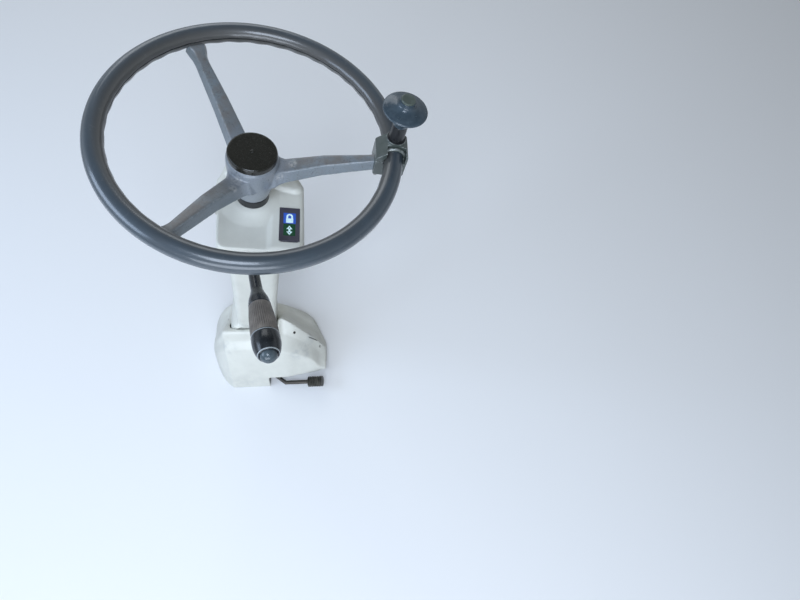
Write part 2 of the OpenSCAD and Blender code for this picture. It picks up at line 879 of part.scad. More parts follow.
module lever_grip() color(grip_brown) {
    on_lever()
        rotate_extrude()
            polygon([[0, grip_start], [lever_stalk_r + 1, grip_start],
                [lever_stalk_r + 1.8, grip_start + grip_l * 0.06],
                [lever_grip_r - 7.4, grip_start + grip_l * 0.15],
                [lever_grip_r - 3, grip_start + grip_l * 0.29],
                [lever_grip_r - 0.8, grip_start + grip_l * 0.45],
                [lever_grip_r, grip_start + grip_l * 0.65], [lever_grip_r, band_start], [0, band_start]]);
}

module lever_band() color(black) {
    on_lever()
        rotate_extrude()
            polygon([[0, band_start], [lever_grip_r - 0.8, band_start],
                [lever_grip_r - 0.8, band_start + 1.5], [lever_grip_r, band_start + 2.5],
                [lever_grip_r - 0.5, band_start + 14], [lever_grip_r - 1.8, end_start - 4],
                [lever_grip_r - 3, end_start], [lever_grip_r - 5, end_start + 6],
                [lever_grip_r - 8, end_start + 10], [button_r + fit, end_start + 10],
                [button_r + fit, end_start + 2], [0, end_start + 2]]);
}

module lever_button() color(steel) {
    on_lever()
        rotate_extrude()
            polygon([[0, end_start + 2], [button_r, end_start + 2], [button_r, lever_l - 7],
                [button_r - 1, lever_l - 4.5], [button_r - 3.2, lever_l - 1.8],
                [button_r - 6, lever_l - 0.4], [0, lever_l]]);
}

base_plate();
pivot_bracket();
pivot_pins();
foot_cover_left();
foot_cover_right();
pedal_bracket();
pedal_pin();
pedal_arm();
pedal_sleeve();
column_fork();
column_tube();
neck_cover();
head_lower();
head_upper();
shaft_collar();
telltale_panel();
lever_socket();
lever_pin();
steering_shaft();
wheel_spider();
wheel_rim();
hub_cap();
knob_clamp();
clamp_strap();
clamp_bolts();
knob_stem();
spinner_knob();
knob_button();
lever_stalk();
lever_grip();
lever_band();
lever_button();
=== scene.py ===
"""Tilting steering column with its wheel, spinner knob and combination lever.

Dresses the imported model: each visible node gets a detailed piece or a finish.
Shapes are drawn in millimetres, and MM, COLUMN, CLAMP or LEVER puts them in their place.
"""

from math import atan2, cos, degrees, pi, radians, sin, tan

import bmesh
import bpy
from bpy.props import FloatProperty, FloatVectorProperty, IntProperty, PointerProperty
from mathutils import Matrix, Vector


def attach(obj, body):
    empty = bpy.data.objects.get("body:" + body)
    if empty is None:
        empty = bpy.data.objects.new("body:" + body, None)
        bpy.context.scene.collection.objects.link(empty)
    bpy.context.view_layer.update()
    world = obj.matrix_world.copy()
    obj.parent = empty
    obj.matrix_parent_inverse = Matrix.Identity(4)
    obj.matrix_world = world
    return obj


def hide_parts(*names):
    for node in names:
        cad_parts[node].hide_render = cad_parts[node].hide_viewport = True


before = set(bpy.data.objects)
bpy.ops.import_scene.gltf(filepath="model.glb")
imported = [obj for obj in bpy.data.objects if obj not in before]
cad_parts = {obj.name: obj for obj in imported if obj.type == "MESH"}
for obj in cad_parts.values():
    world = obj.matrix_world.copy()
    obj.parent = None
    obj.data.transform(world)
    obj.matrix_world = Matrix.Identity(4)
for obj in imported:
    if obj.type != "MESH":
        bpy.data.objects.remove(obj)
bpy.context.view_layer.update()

bl_info = {
    "name": "Steering column",
    "version": (1, 0, 0),
    "blender": (4, 5, 0),
    "location": "3D View > Sidebar > Steering column",
    "description": "Builds a tilting steering column with wheel, spinner knob and lever",
    "category": "Object",
}

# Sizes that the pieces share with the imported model
LEAN, TILT_NEAR = 9.5, 7.0
PIVOT_Z = 120.0
PIVOT_Y = -PIVOT_Z * tan(radians(LEAN))
WHEEL_L = 577.5
RIM_R, GRIP_R = 186.0, 13.0
CAP_R, CAP_H, HUB_R, HUB_FOOT_R, HUB_H, DISH = 33.5, 10.0, 35.5, 24.0, 77.5, 28.0
HUB_TOP = WHEEL_L - DISH - CAP_H
HUB_FOOT = HUB_TOP - HUB_H
SPOKE_HUB, SPOKE_RIM, SPOKE_PAD, SPOKE_DRAFT, SPOKE_TURN = 31.0, 19.0, 11.0, 4.0, 28.0
HEAD_Z = WHEEL_L - 134
HEAD_SPLIT = HEAD_Z - 30
HEAD_LOW = HEAD_SPLIT - 24
NECK_TOP = HEAD_LOW - 44
NECK_W, NECK_D, NECK_BACK, NECK_CORNER, WALL = 84.0, 86.0, 3.0, 14.0, 3.0
# How far the neck's front wall draws in at its foot, with its barrel and the slot round that
NECK_DRAW, BARREL_DRAW, SLOT_DRAW = 8.5, 4.0, 5.5
SOCKET_ROOM_R = 17.3
COLLAR_R, COLLAR_LOW, TUBE_TOP, TUBE_R, SHAFT_R = 23.8, HEAD_Z + 4.5, HEAD_Z + 10.5, 20.0, 10.0
SLEEVE_R = 11.0
KNOB_TURN, KNOB_R, KNOB_H, STEM_R, STEM_H, STEM_SHIFT = -91.0, 29.0, 44.0, 10.2, 26.0, 8.0
POST_R, STEM_PIN_R = 9.8, 5.0
CLAMP_TOP = GRIP_R + 6
STEM_Z = CLAMP_TOP + 3
KNOB_Z = STEM_Z + STEM_H
LEVER_L, LEVER_GRIP_R, LEVER_STALK_R, LEVER_RISE, LEVER_SWEEP = 195.0, 19.0, 6.5, 20.0, 10.0
PANEL_X, PANEL_Y, PANEL_W, PANEL_D, PANEL_T = -45.0, -55.0, 60.0, 30.0, 1.5

MM = Matrix.Scale(0.001, 4)
PIVOT = MM @ Matrix.Translation((0, PIVOT_Y, PIVOT_Z))
COLUMN = PIVOT @ Matrix.Rotation(radians(LEAN), 4, "X")
CLAMP = (COLUMN @ Matrix.Rotation(radians(KNOB_TURN), 4, "Z")
         @ Matrix.Translation((RIM_R, 0, WHEEL_L)))
STEM = CLAMP @ Matrix.Translation((0, STEM_SHIFT, 0))
SOCKET = COLUMN @ Matrix.Translation((-90, -2, HEAD_SPLIT))
LEVER = (SOCKET @ Matrix.Rotation(radians(180 + LEVER_SWEEP), 4, "Z")
         @ Matrix.Rotation(radians(90 - LEVER_RISE), 4, "Y"))
SIDEWAYS = Matrix.Rotation(pi / 2, 4, "Y")

# The camera, in metres: its lens, its place and the ways to its right and ahead
LENS = 25.65
CAMERA_AT = (-0.5118, -0.2414, 1.2745)
CAMERA_RIGHT = (-0.0600, -0.9965, 0.0584)
CAMERA_AHEAD = (0.4220, -0.0783, -0.9032)
# Lamps: name, place, width, height, power and colour. All of them look at LAMP_AIM.
LAMPS = (("front_window", (-0.4, 2.0, 1.6), 1.8, 1.0, 28.0, "#cfe3ff"),
         ("left_window", (-2.1, 0.1, 0.9), 1.8, 1.0, 30.0, "#e6f0ff"),
         ("right_window", (2.1, 0.3, 1.8), 1.6, 1.0, 10.0, "#eef3f8"),
         ("roof", (-1.2, -0.1, 2.4), 0.9, 0.9, 27.0, "#dfecff"))
LAMP_AIM = Vector((0, -0.05, 0.45))


# Finishes

def shade(text):
    """An sRGB hex colour as the linear values that Blender works in, and an alpha of one."""
    parts = [int(text[i:i + 2], 16) / 255 for i in (1, 3, 5)]
    return tuple(c / 12.92 if c <= 0.04045 else ((c + 0.055) / 1.055) ** 2.4 for c in parts) + (1,)


def darker(colour, share):
    """A colour with a share of its light."""
    return tuple(c * share for c in colour[:3]) + (1,)


def feed(tree, socket, value):
    """Gives an input a value, a socket's output or the first output of a node."""
    if isinstance(value, bpy.types.Node):
        value = next(out for out in value.outputs if out.enabled)
    if isinstance(value, bpy.types.NodeSocket):
        tree.links.new(value, socket)
    else:
        socket.default_value = value


def add(tree, kind, inputs=None, **settings):
    """Adds a shader node with its settings and feeds its inputs."""
    made = tree.nodes.new("ShaderNode" + kind)
    for name, value in settings.items():
        setattr(made, name, value)
    for key, value in (inputs or {}).items():
        feed(tree, made.inputs[key], value)
    return made


def blend(tree, share, first, second):
    """A colour that goes from the first to the second with a share."""
    return add(tree, "Mix", {0: share, 6: first, 7: second}, data_type="RGBA")


def ramp(tree, value, low, high, start=0.0, stop=1.0):
    """Goes from the start to the stop while a value goes from low to high."""
    return add(tree, "MapRange", {"Value": value, "From Min": low, "From Max": high,
                                  "To Min": start, "To Max": stop})


def noise(tree, spot, size, detail=2.0, roughness=0.5, distortion=0.0):
    """Cloudy noise with patches of about a size in millimetres."""
    return add(tree, "TexNoise", {"Vector": spot, "Scale": 1 / size, "Detail": detail,
                                  "Roughness": roughness, "Distortion": distortion})


def begin(name, place=MM):
    """An empty material with its tree, its shader and coordinates in the millimetres of a
    place, so that a texture's Scale is one over the size of its pattern."""
    material = bpy.data.materials.new(name)
    material.use_nodes = True
    tree = material.node_tree
    tree.nodes.clear()
    shader = add(tree, "BsdfPrincipled")
    add(tree, "OutputMaterial", {"Surface": shader})
    shift, turn, size = place.inverted().decompose()
    spot = add(tree, "Mapping", {"Vector": add(tree, "TexCoord").outputs["Object"], "Location": shift,
                                 "Rotation": turn.to_euler(), "Scale": size})
    return material, tree, shader, spot


def dress(tree, shader, **values):
    """Feeds the shader's sockets; underscores stand for the spaces in their names."""
    for key, value in values.items():
        feed(tree, shader.inputs[key.replace("_", " ")], value)


def from_axis(tree, spot):
    """How far a spot is from the Z axis of its place."""
    flat = add(tree, "VectorMath", {0: spot, 1: (1, 1, 0)}, operation="MULTIPLY")
    return add(tree, "VectorMath", {0: flat}, operation="LENGTH").outputs["Value"]


def near(tree, spot, centre, reach, core, most):
    """The most within a share of the reach from a centre, fading to nothing at its reach."""
    away = add(tree, "VectorMath", {0: spot, 1: centre}, operation="DISTANCE").outputs["Value"]
    return ramp(tree, away, reach, reach * core, stop=most)


def shown_rays(tree):
    """One for rays that show the background: from the camera, in gloss or through glass."""
    rays = add(tree, "LightPath").outputs
    seen = add(tree, "Math", {0: rays["Is Camera Ray"], 1: rays["Is Glossy Ray"]}, operation="MAXIMUM")
    return add(tree, "Math", {0: seen, 1: rays["Is Transmission Ray"]}, operation="MAXIMUM")


def moulded_abs():
    """Injection-moulded ABS with a spark-eroded skin: soft gloss and fine grain, dulled in
    patches by hands, with gray boot dirt low down and in a few smears, and painted shade that
    darkens its creases and corners."""
    material, tree, shader, spot = begin("moulded_abs")
    colour = tuple(bpy.context.scene.steering_column.cover_colour) + (1,)
    cloud = noise(tree, spot, 60, 4.0, 0.6)
    soft = ramp(tree, cloud, 0.4, 0.7)
    base = blend(tree, soft, colour, darker(colour, 0.9))
    dirty = ramp(tree, add(tree, "SeparateXYZ", {0: spot}).outputs["Z"], 60.0, 5.0, stop=0.45)
    for centre, reach in SMEARS:
        smear = near(tree, spot, centre, reach, 0.3, 1.0)
        dirty = add(tree, "Math", {0: dirty, 1: smear}, operation="MAXIMUM")
    speck = noise(tree, spot, 16, 6.0, 0.6)
    patch = ramp(tree, speck, 0.4, 0.75, stop=0.6)
    grime = add(tree, "Math", {0: patch, 1: dirty}, operation="MULTIPLY")
    soiled = blend(tree, grime, base, shade("#959da2"))
    # Painted shade: creases and corners, found by their low pointiness, are darkened towards #85857d where
    # less light falls.
    painted_crease_shade = ramp(tree, add(tree, "NewGeometry").outputs["Pointiness"], 0.49, 0.44, stop=0.55)
    final = blend(tree, painted_crease_shade, soiled, shade("#85857d"))
    sheen = ramp(tree, cloud, 0.0, 1.0, 0.36, 0.52)
    # The eroded grain is about 0.3 mm; it is drawn at 1.4 mm so that it shows
    skin = noise(tree, spot, 1.4)
    bump = add(tree, "Bump", {"Height": skin, "Strength": 0.12, "Distance": 0.0002})
    dress(tree, shader, Base_Color=final, Roughness=sheen, Normal=bump, IOR=1.53)
    return material


def moulded_polyurethane():
    """Self-skinning polyurethane on the rim: a leathery slate skin polished by hands, browner
    towards the hub where palms leave grime, with pale scuffs."""
    material, tree, shader, spot = begin("moulded_polyurethane", COLUMN)
    slate = tuple(bpy.context.scene.steering_column.grip_colour) + (1,)
    inner = ramp(tree, from_axis(tree, spot), RIM_R, RIM_R - 9, stop=0.75)
    cloud = noise(tree, spot, 34, 4.0)
    skin = blend(tree, cloud, slate, shade("#333a40"))
    palm = blend(tree, inner, skin, shade("#4a4742"))
    speck = noise(tree, spot, 6, 8.0, 0.75)
    scuff = ramp(tree, speck, 0.57, 0.8, stop=0.3)
    final = blend(tree, scuff, palm, shade("#7b7f82"))
    sheen = ramp(tree, cloud, 0.0, 1.0, 0.3, 0.5)
    # Leather grain of about 1 mm, drawn at 2.2 mm
    grain = add(tree, "TexVoronoi", {"Vector": spot, "Scale": 1 / 2.2})
    bump = add(tree, "Bump", {"Height": grain, "Strength": 0.12, "Distance": 0.0003})
    dress(tree, shader, Base_Color=final, Roughness=sheen, Normal=bump, IOR=1.5, Coat_Weight=0.8,
          Coat_Roughness=0.16)
    return material


def painted_iron(name, place, paint, top_wear_and_shade_colour, metal, pale=None, edge=0.525, rubs=()):
    """Gray paint on sand-cast iron: thick and orange-peeled, browned on top, partly where hands
    rub it and partly as painted light that sets the tops apart from the sides, bare and bright
    along its edges, with fine dark scratches. Without a paint it takes the panel's. Pale paint
    round the hub stands for its polished skin, and each rub is a bare spot: its middle and its
    reach."""
    material, tree, shader, spot = begin(name, place)
    paint = shade(paint) if paint else tuple(bpy.context.scene.steering_column.paint_colour) + (1,)
    cloud = noise(tree, spot, 24, 6.0, 0.65)
    facing = add(tree, "SeparateXYZ", {0: add(tree, "TexCoord").outputs["Normal"]}).outputs["Z"]
    # Faces that look up take the top colour in cloudy patches: partly rub wear, partly painted light that
    # sets the tops apart from the sides as the light falling on them does.
    top = ramp(tree, facing, 0.7, 0.93, start=0.25)
    rub = ramp(tree, cloud, 0.34, 0.6)
    share = add(tree, "Math", {0: top, 1: rub}, operation="MULTIPLY")
    base = blend(tree, share, paint, shade(top_wear_and_shade_colour))
    if pale:
        hub = ramp(tree, from_axis(tree, spot), 62.0, 40.0, stop=0.85)
        base = blend(tree, hub, base, shade(pale))
    lines = noise(tree, spot, 16, 1.0, distortion=3.0)
    off = add(tree, "Math", {0: add(tree, "Math", {0: lines, 1: 0.5}, operation="SUBTRACT")},
              operation="ABSOLUTE")
    line = ramp(tree, off, 0.012, 0.004, stop=0.45)
    marked = blend(tree, line, base, shade("#2f3133"))
    chip = noise(tree, spot, 4, 4.0)
    sharp = ramp(tree, add(tree, "NewGeometry").outputs["Pointiness"], edge, edge + 0.06)
    wear = ramp(tree, chip, 0.35, 0.6)
    bare = add(tree, "Math", {0: sharp, 1: wear}, operation="MULTIPLY")
    for centre, reach in rubs:
        close = near(tree, spot, centre, reach, 0.5, 0.8)
        patch = add(tree, "Math", {0: close, 1: wear}, operation="MULTIPLY")
        bare = add(tree, "Math", {0: bare, 1: patch}, operation="MAXIMUM")
    final = blend(tree, bare, marked, shade(metal))
    gloss = ramp(tree, cloud, 0.0, 1.0, 0.3, 0.5)
    # Sand grain of about 0.8 mm under the paint, drawn at 1.6 mm
    skin = noise(tree, spot, 1.6, 3.0)
    bump = add(tree, "Bump", {"Height": skin, "Strength": 0.2, "Distance": 0.0003})
    dress(tree, shader, Base_Color=final, Roughness=gloss, Metallic=bare, Normal=bump, Coat_Weight=0.5,
          Coat_Roughness=0.2)
    return material


def polished_plastic(name, colour, worn, rough, scuff=5.0, grain=0.06):
    """Moulded nylon or ABS with a polished skin: deep gloss broken by fine scuffs."""
    material, tree, shader, spot = begin(name)
    cloud = noise(tree, spot, 14, 5.0, 0.6)
    soft = ramp(tree, cloud, 0.42, 0.7)
    base = blend(tree, soft, shade(colour), shade(worn))
    marks = noise(tree, spot, scuff, 6.0, distortion=1.0)
    gloss = ramp(tree, marks, 0.35, 0.75, rough, rough + 0.16)
    bump = add(tree, "Bump", {"Height": marks, "Strength": grain, "Distance": 0.0003})
    dress(tree, shader, Base_Color=base, Roughness=gloss, Normal=bump, IOR=1.5)
    return material


def worked_steel(name, colour, rough, grain):
    """Rolled, plated or turned steel: a satin metal with faint mottling and a fine lay."""
    material, tree, shader, spot = begin(name)
    cloud = noise(tree, spot, 18, 6.0)
    base = blend(tree, cloud, shade(colour), darker(shade(colour), 0.7))
    gloss = ramp(tree, cloud, 0.0, 1.0, rough - 0.08, rough + 0.12)
    skin = noise(tree, spot, grain, 3.0)
    bump = add(tree, "Bump", {"Height": skin, "Strength": 0.08, "Distance": 0.0003})
    dress(tree, shader, Base_Color=base, Roughness=gloss, Metallic=1.0, Normal=bump)
    return material


def printed_film(name, colour, painted_glow):
    """Printed polycarbonate film: an even colour with a little painted glow."""
    material, tree, shader, spot = begin(name)
    haze = noise(tree, spot, 5)
    base = blend(tree, haze, shade(colour), darker(shade(colour), 0.7))
    # The emission is painted light: the film glows by itself.
    dress(tree, shader, Base_Color=base, Roughness=0.25, IOR=1.58, Emission_Color=base,
          Emission_Strength=painted_glow)
    return material


# Dirt on the covers: the middle of each smear and its reach
SMEARS = (((-66, -128, 80), 24), ((-80, -108, 84), 18), ((-40, -140, 80), 16), ((-70, 30, 118), 20),
          ((-60, -60, 440), 30), ((-42, -20, 160), 22))

# Spots rubbed bare where the spokes leave the hub
RUBS = (((-36, 19, 528), 9), ((-50, 22, 532), 7), ((-15, -36, 520), 7), ((-1, -53, 533), 8))

# Each finish: what makes its material, the material's name and what else the maker takes
MAKERS = {
    "cover": (moulded_abs,),
    "grip": (moulded_polyurethane,),
    # For the spider and the clamp, the second colour goes on their tops: rub wear, and painted light that
    # sets tops apart from sides.
    "spider": (painted_iron, "painted_cast_iron", COLUMN, None, "#6d6b69", "#c4c6c6", "#868d95", 0.51, RUBS),
    "clamp": (painted_iron, "painted_clamp_casting", CLAMP, "#3d4642", "#545a56", "#b9bdba", None, 0.515),
    "cap": (polished_plastic, "moulded_cap_abs", "#201f19", "#24231d", 0.17, 3.0, 0.008),
    "knob": (polished_plastic, "lacquered_bakelite", "#36434c", "#45525b", 0.14),
    "knob_pad": (polished_plastic, "moulded_knob_pad", "#49524c", "#5d655e", 0.3),
    "black": (polished_plastic, "moulded_black_nylon", "#131417", "#1d1e20", 0.3),
    "panel": (polished_plastic, "moulded_panel_abs", "#42404a", "#4c4a54", 0.34),
    "lever": (polished_plastic, "polished_nylon", "#1d2023", "#2b2f32", 0.16),
    "lever_grip": (polished_plastic, "ribbed_nylon", "#6a645e", "#857e76", 0.34),
    # The lever's rings: pale, a painted highlight on their edges.
    "ring": (polished_plastic, "moulded_ring_nylon", "#8d9496", "#a5abad", 0.3),
    "button": (polished_plastic, "polished_button_abs", "#414d53", "#505c62", 0.14),
    "rubber": (polished_plastic, "moulded_rubber", "#35342f", "#5a5850", 0.42, 5.0, 0.15),
    "steel": (worked_steel, "zinc_plated_steel", "#a8a9a6", 0.38, 2.0),
    "bright": (worked_steel, "turned_steel", "#c3c4c4", 0.24, 1.0),
    "rod": (worked_steel, "drawn_steel_rod", "#5c5853", 0.42, 2.5),
    # Printed films: the last value is each one's painted glow.
    "blue": (printed_film, "printed_blue_film", "#3158b8", 0.35),
    "white": (printed_film, "printed_white_film", "#cdeaf0", 0.4),
    "green": (printed_film, "printed_green_film", "#1b4a2e", 0.15),
}
FINISHES = {}


def finish_of(name):
    """The material for a finish, made once."""
    if name not in FINISHES:
        maker, *values = MAKERS[name]
        FINISHES[name] = maker(*values)
    return FINISHES[name]


# Shapes

def spun(bm, profile, steps=96):
    """Spins (radius, height) points round the Z axis into a closed shape."""
    verts = [bm.verts.new((r, 0, z)) for r, z in profile]
    edges = [bm.edges.new(pair) for pair in zip(verts, verts[1:])]
    if profile[0] == profile[-1]:
        bmesh.ops.remove_doubles(bm, verts=verts, dist=1e-4)
        verts = [v for v in verts if v.is_valid]
        edges = [e for e in edges if e.is_valid]
    bmesh.ops.spin(bm, geom=verts + edges, cent=(0, 0, 0), axis=(0, 0, 1), dvec=(0, 0, 0),
                   angle=2 * pi, steps=steps, use_merge=True)
    bmesh.ops.remove_doubles(bm, verts=bm.verts, dist=1e-4)


def lofted(bm, rings):
    """Bridges closed rings of points in order and closes both ends."""
    loops = []
    for ring in rings:
        verts = [bm.verts.new(point) for point in ring]
        loops.append([bm.edges.new((v, verts[(i + 1) % len(verts)])) for i, v in enumerate(verts)])
    for a, b in zip(loops, loops[1:]):
        bmesh.ops.bridge_loops(bm, edges=a + b)
    for ends in (loops[0], loops[-1]):
        bmesh.ops.edgeloop_fill(bm, edges=ends)


def drawn(shape, *values):
    """A bmesh with one shape in it."""
    bm = bmesh.new()
    shape(bm, *values)
    return bm


def linked(name, bm):
    """An object in the scene made of a bmesh."""
    mesh = bpy.data.meshes.new(name)
    bm.to_mesh(mesh)
    bm.free()
    obj = bpy.data.objects.new(name, mesh)
    bpy.context.scene.collection.objects.link(obj)
    return obj


def tool(bm, place=MM, name="tool"):
    """An object in its place, such as one that a Boolean modifier cuts with or adds."""
    bmesh.ops.recalc_face_normals(bm, faces=bm.faces)
    bmesh.ops.transform(bm, matrix=place, verts=bm.verts)
    return linked(name, bm)


def piece(name, bm, place, body, finish, stands_for=(), angle=35.0, modifiers=()):
    """Turns a bmesh into a piece in its place, riding on a body."""
    obj = tool(bm, place, name)
    settle(obj, modifiers, angle)
    obj.data.materials.clear()
    obj.data.materials.append(finish_of(finish))
    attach(obj, body)
    if stands_for:
        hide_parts(*stands_for)
    return obj


def settle(obj, modifiers, angle):
    """Adds modifiers, applies them to the mesh and shades it smooth up to an angle."""
    for kind, settings in modifiers:
        made = obj.modifiers.new(kind.lower(), kind)
        for key, value in settings.items():
            setattr(made, key, value)
    if modifiers:
        graph = bpy.context.evaluated_depsgraph_get()
        done = bpy.data.meshes.new_from_object(obj.evaluated_get(graph))
        obj.modifiers.clear()
        obj.data = done
    obj.data.polygons.foreach_set("use_smooth", [True] * len(obj.data.polygons))
    obj.data.set_sharp_from_angle(angle=radians(angle))


def cast(voxel, rounds):
    """Modifiers that weld a shape's parts together and round its edges, as a casting's are. The
    voxel is in millimetres."""
    return (("REMESH", {"mode": "VOXEL", "voxel_size": voxel / 1000, "adaptivity": 0.0}),
            ("SMOOTH", {"factor": 0.5, "iterations": rounds}))


def cut(*tools, operation="DIFFERENCE"):
    """Boolean modifiers, one with each tool."""
    return tuple(("BOOLEAN", {"object": obj, "operation": operation, "solver": "EXACT"}) for obj in tools)


def drop(*tools):
    """Removes the tools once the cuts are applied."""
    for obj in tools:
        bpy.data.objects.remove(obj)


def facing(point, way):
    """A place at a point with its Z axis along a direction."""
    return MM @ Matrix.Translation(point) @ Vector(way).to_track_quat("Z", "Y").to_matrix().to_4x4()


def bevelled(width):
    """A small rounding on every edge sharper than 35 degrees, as the modifiers of a piece."""
    return (("BEVEL", {"width": width / 1000, "segments": 3, "limit_method": "ANGLE",
                       "angle_limit": radians(35), "harden_normals": False}),)


def curve_point(points, i, u):
    """A point on the smooth curve through a row of points, a share u past point i."""
    a, b = points[max(i - 1, 0)], points[i]
    c, d = points[min(i + 1, len(points) - 1)], points[min(i + 2, len(points) - 1)]
    return b + 0.5 * u * (c - a + u * (2 * a - 5 * b + 4 * c - d + u * (3 * b - a - 3 * c + d)))


def curved(points, steps):
    """A row of points with more on the smooth curve through them."""
    points = [Vector(p) for p in points]
    return [curve_point(points, i, j / steps) for i in range(len(points) - 1)
            for j in range(steps)] + [points[-1]]


def sides_of(centres):
    """The way each side of an outline faces, in degrees, from the centres of its corners."""
    return [degrees(atan2(c[0] - after[0], after[1] - c[1]))
            for c, after in zip(centres, centres[1:] + centres[:1])]


def corner_ring(centres, radius, z, faces=None):
    """A ring with a rounded corner about each centre."""
    faces = faces or sides_of(centres)
    ring = []
    for i, c in enumerate(centres):
        start = faces[i - 1]
        turn = (faces[i] - start + 720) % 360
        for k in range(9):
            a = radians(start + turn * k / 8)
            ring.append((c[0] + radius * cos(a), c[1] + radius * sin(a), z))
    return ring


def block(bm, low, high):
    """A box between two corners."""
    made = bmesh.ops.create_cube(bm, size=1.0)["verts"]
    low, high = Vector(low), Vector(high)
    bmesh.ops.scale(bm, vec=high - low, verts=made)
    bmesh.ops.translate(bm, vec=(low + high) / 2, verts=made)


def round_bar(bm, radius, low, high, segments):
    """A cylinder along Z between two heights."""
    made = bmesh.ops.create_cone(bm, cap_ends=True, segments=segments, radius1=radius, radius2=radius,
                                 depth=high - low)["verts"]
    bmesh.ops.translate(bm, vec=(0, 0, (low + high) / 2), verts=made)


# Sizes and colours

def colour_choice(name, text, description):
    """A colour in the panel with its default."""
    return FloatVectorProperty(name=name, subtype="COLOR", size=3, min=0.0, max=1.0,
                               default=shade(text)[:3], description=description)


class SteeringColumnLook(bpy.types.PropertyGroup):
    """Sizes and colours that the sidebar panel offers"""
    wave_depth: FloatProperty(name="Finger wave depth", default=0.0009, min=0.0, max=0.002, unit="LENGTH",
                              subtype="DISTANCE", description="Depth of the finger waves under the rim")
    wave_count: IntProperty(name="Finger waves", default=40, min=0, max=60,
                            description="Number of finger waves round the rim")
    crease_depth: FloatProperty(name="Crease depth", default=0.0011, min=0.0, max=0.002, unit="LENGTH",
                                subtype="DISTANCE", description="Depth of the rim's parting crease")
    pip_radius: FloatProperty(name="Pip radius", default=0.0026, min=0.0005, max=0.005, unit="LENGTH",
                              subtype="DISTANCE", description="Radius of the pip on the hub cap")
    rib_count: IntProperty(name="Lever ribs", default=40, min=12, max=72,
                           description="Number of lengthwise ribs on the lever's grip")
    rib_depth: FloatProperty(name="Lever rib depth", default=0.0007, min=0.0, max=0.0015, unit="LENGTH",
                             subtype="DISTANCE", description="Depth of the grooves between those ribs")
    cover_colour: colour_choice("Covers", "#dedfd6", "Colour of the head, neck and foot covers")
    grip_colour: colour_choice("Rim grip", "#404d57", "Colour of the grip on the rim")
    paint_colour: colour_choice("Spider paint", "#727d84", "Colour of the paint on the cast spider")


class STEERING_OT_stage(bpy.types.Operator):
    """Adds the floor, the soft studio light and the camera"""
    bl_idname = "steering.stage"
    bl_label = "Stage and camera"

    def execute(self, context):
        scene = context.scene
        scene.view_settings.view_transform = "Standard"
        bm = bmesh.new()
        bmesh.ops.create_grid(bm, x_segments=1, y_segments=1, size=14.0)
        floor = linked("floor", bm)
        material, tree, shader = begin("floor_paint")[:3]
        pale = blend(tree, shown_rays(tree), shade("#8c8d8a"), shade("#eceded"))
        dress(tree, shader, Base_Color=pale, Roughness=0.8)
        floor.data.materials.append(material)

        world = bpy.data.worlds.new("studio")
        world.use_nodes = True
        scene.world = world
        tree = world.node_tree
        tree.nodes.clear()
        # Pale walls under a dimmer ceiling, so that gloss shows where a surface faces
        height = add(tree, "SeparateXYZ", {0: add(tree, "TexCoord").outputs["Generated"]}).outputs["Z"]
        wall = ramp(tree, height, 0.15, 0.7, 0.8, 0.22)
        light = add(tree, "Background", {"Color": shade("#e6eaee"), "Strength": 0.3})
        back = add(tree, "Background", {"Color": shade("#dde6ee"), "Strength": wall})
        mixed = add(tree, "MixShader", {0: shown_rays(tree), 1: light, 2: back})
        add(tree, "OutputWorld", {"Surface": mixed})

        for name, where, wide, high, power, colour in LAMPS:
            lamp = bpy.data.lights.new(name, "AREA")
            lamp.shape = "RECTANGLE"
            lamp.size = wide
            lamp.size_y = high
            lamp.energy = power
            lamp.color = shade(colour)[:3]
            obj = bpy.data.objects.new(name, lamp)
            scene.collection.objects.link(obj)
            obj.location = where
            obj.rotation_euler = (LAMP_AIM - Vector(where)).to_track_quat("-Z", "Y").to_euler()

        lens = bpy.data.cameras.new("camera")
        lens.lens = LENS
        lens.sensor_width = 36
        camera = bpy.data.objects.new("camera", lens)
        scene.collection.objects.link(camera)
        right = Vector(CAMERA_RIGHT).normalized()
        behind = -Vector(CAMERA_AHEAD).normalized()
        up = behind.cross(right).normalized()
        right = up.cross(behind)
        camera.matrix_world = Matrix.Translation(CAMERA_AT) @ Matrix(
            (right, up, behind)).transposed().to_4x4()
        scene.camera = camera
        return {"FINISHED"}


class STEERING_OT_rim(bpy.types.Operator):
    """Models the rim's grip: a round section with a parting crease and finger waves"""
    bl_idname = "steering.rim"
    bl_label = "Rim"

    def execute(self, context):
        look = context.scene.steering_column
        crease = look.crease_depth * 1000
        # Angles round the section, closer together at the crease a little below its widest place
        angles = [a for a in range(-180, 180, 5) if abs(a + 22) > 10] + [k - 32 for k in range(0, 21, 2)]
        section = []
        for a in sorted(angles):
            off = abs(a + 22)
            r = GRIP_R - crease * max(0.0, 1 - off / 4) + 0.3 * max(0.0, 1 - abs(off - 7) / 3)
            section.append((RIM_R + min(r, GRIP_R + 0.2) * cos(radians(a)), r * sin(radians(a))))
        section.append(section[0])
        bm = bmesh.new()
        spun(bm, section, 288)
        for v in bm.verts:
            around = atan2(v.co.y, v.co.x)
            out = v.co.xy.length - RIM_R
            under = max(0.0, cos(atan2(v.co.z, out) - radians(-140)))
            depth = look.wave_depth * 1000 * under ** 2 * (0.5 - 0.5 * cos(around * look.wave_count))
            v.co -= Vector((cos(around) * out, sin(around) * out, v.co.z)).normalized() * depth
        bmesh.ops.translate(bm, vec=(0, 0, WHEEL_L), verts=bm.verts)
        piece("rim_grip", bm, COLUMN, "wheel", "grip", ["wheel_rim"], angle=50)
        return {"FINISHED"}


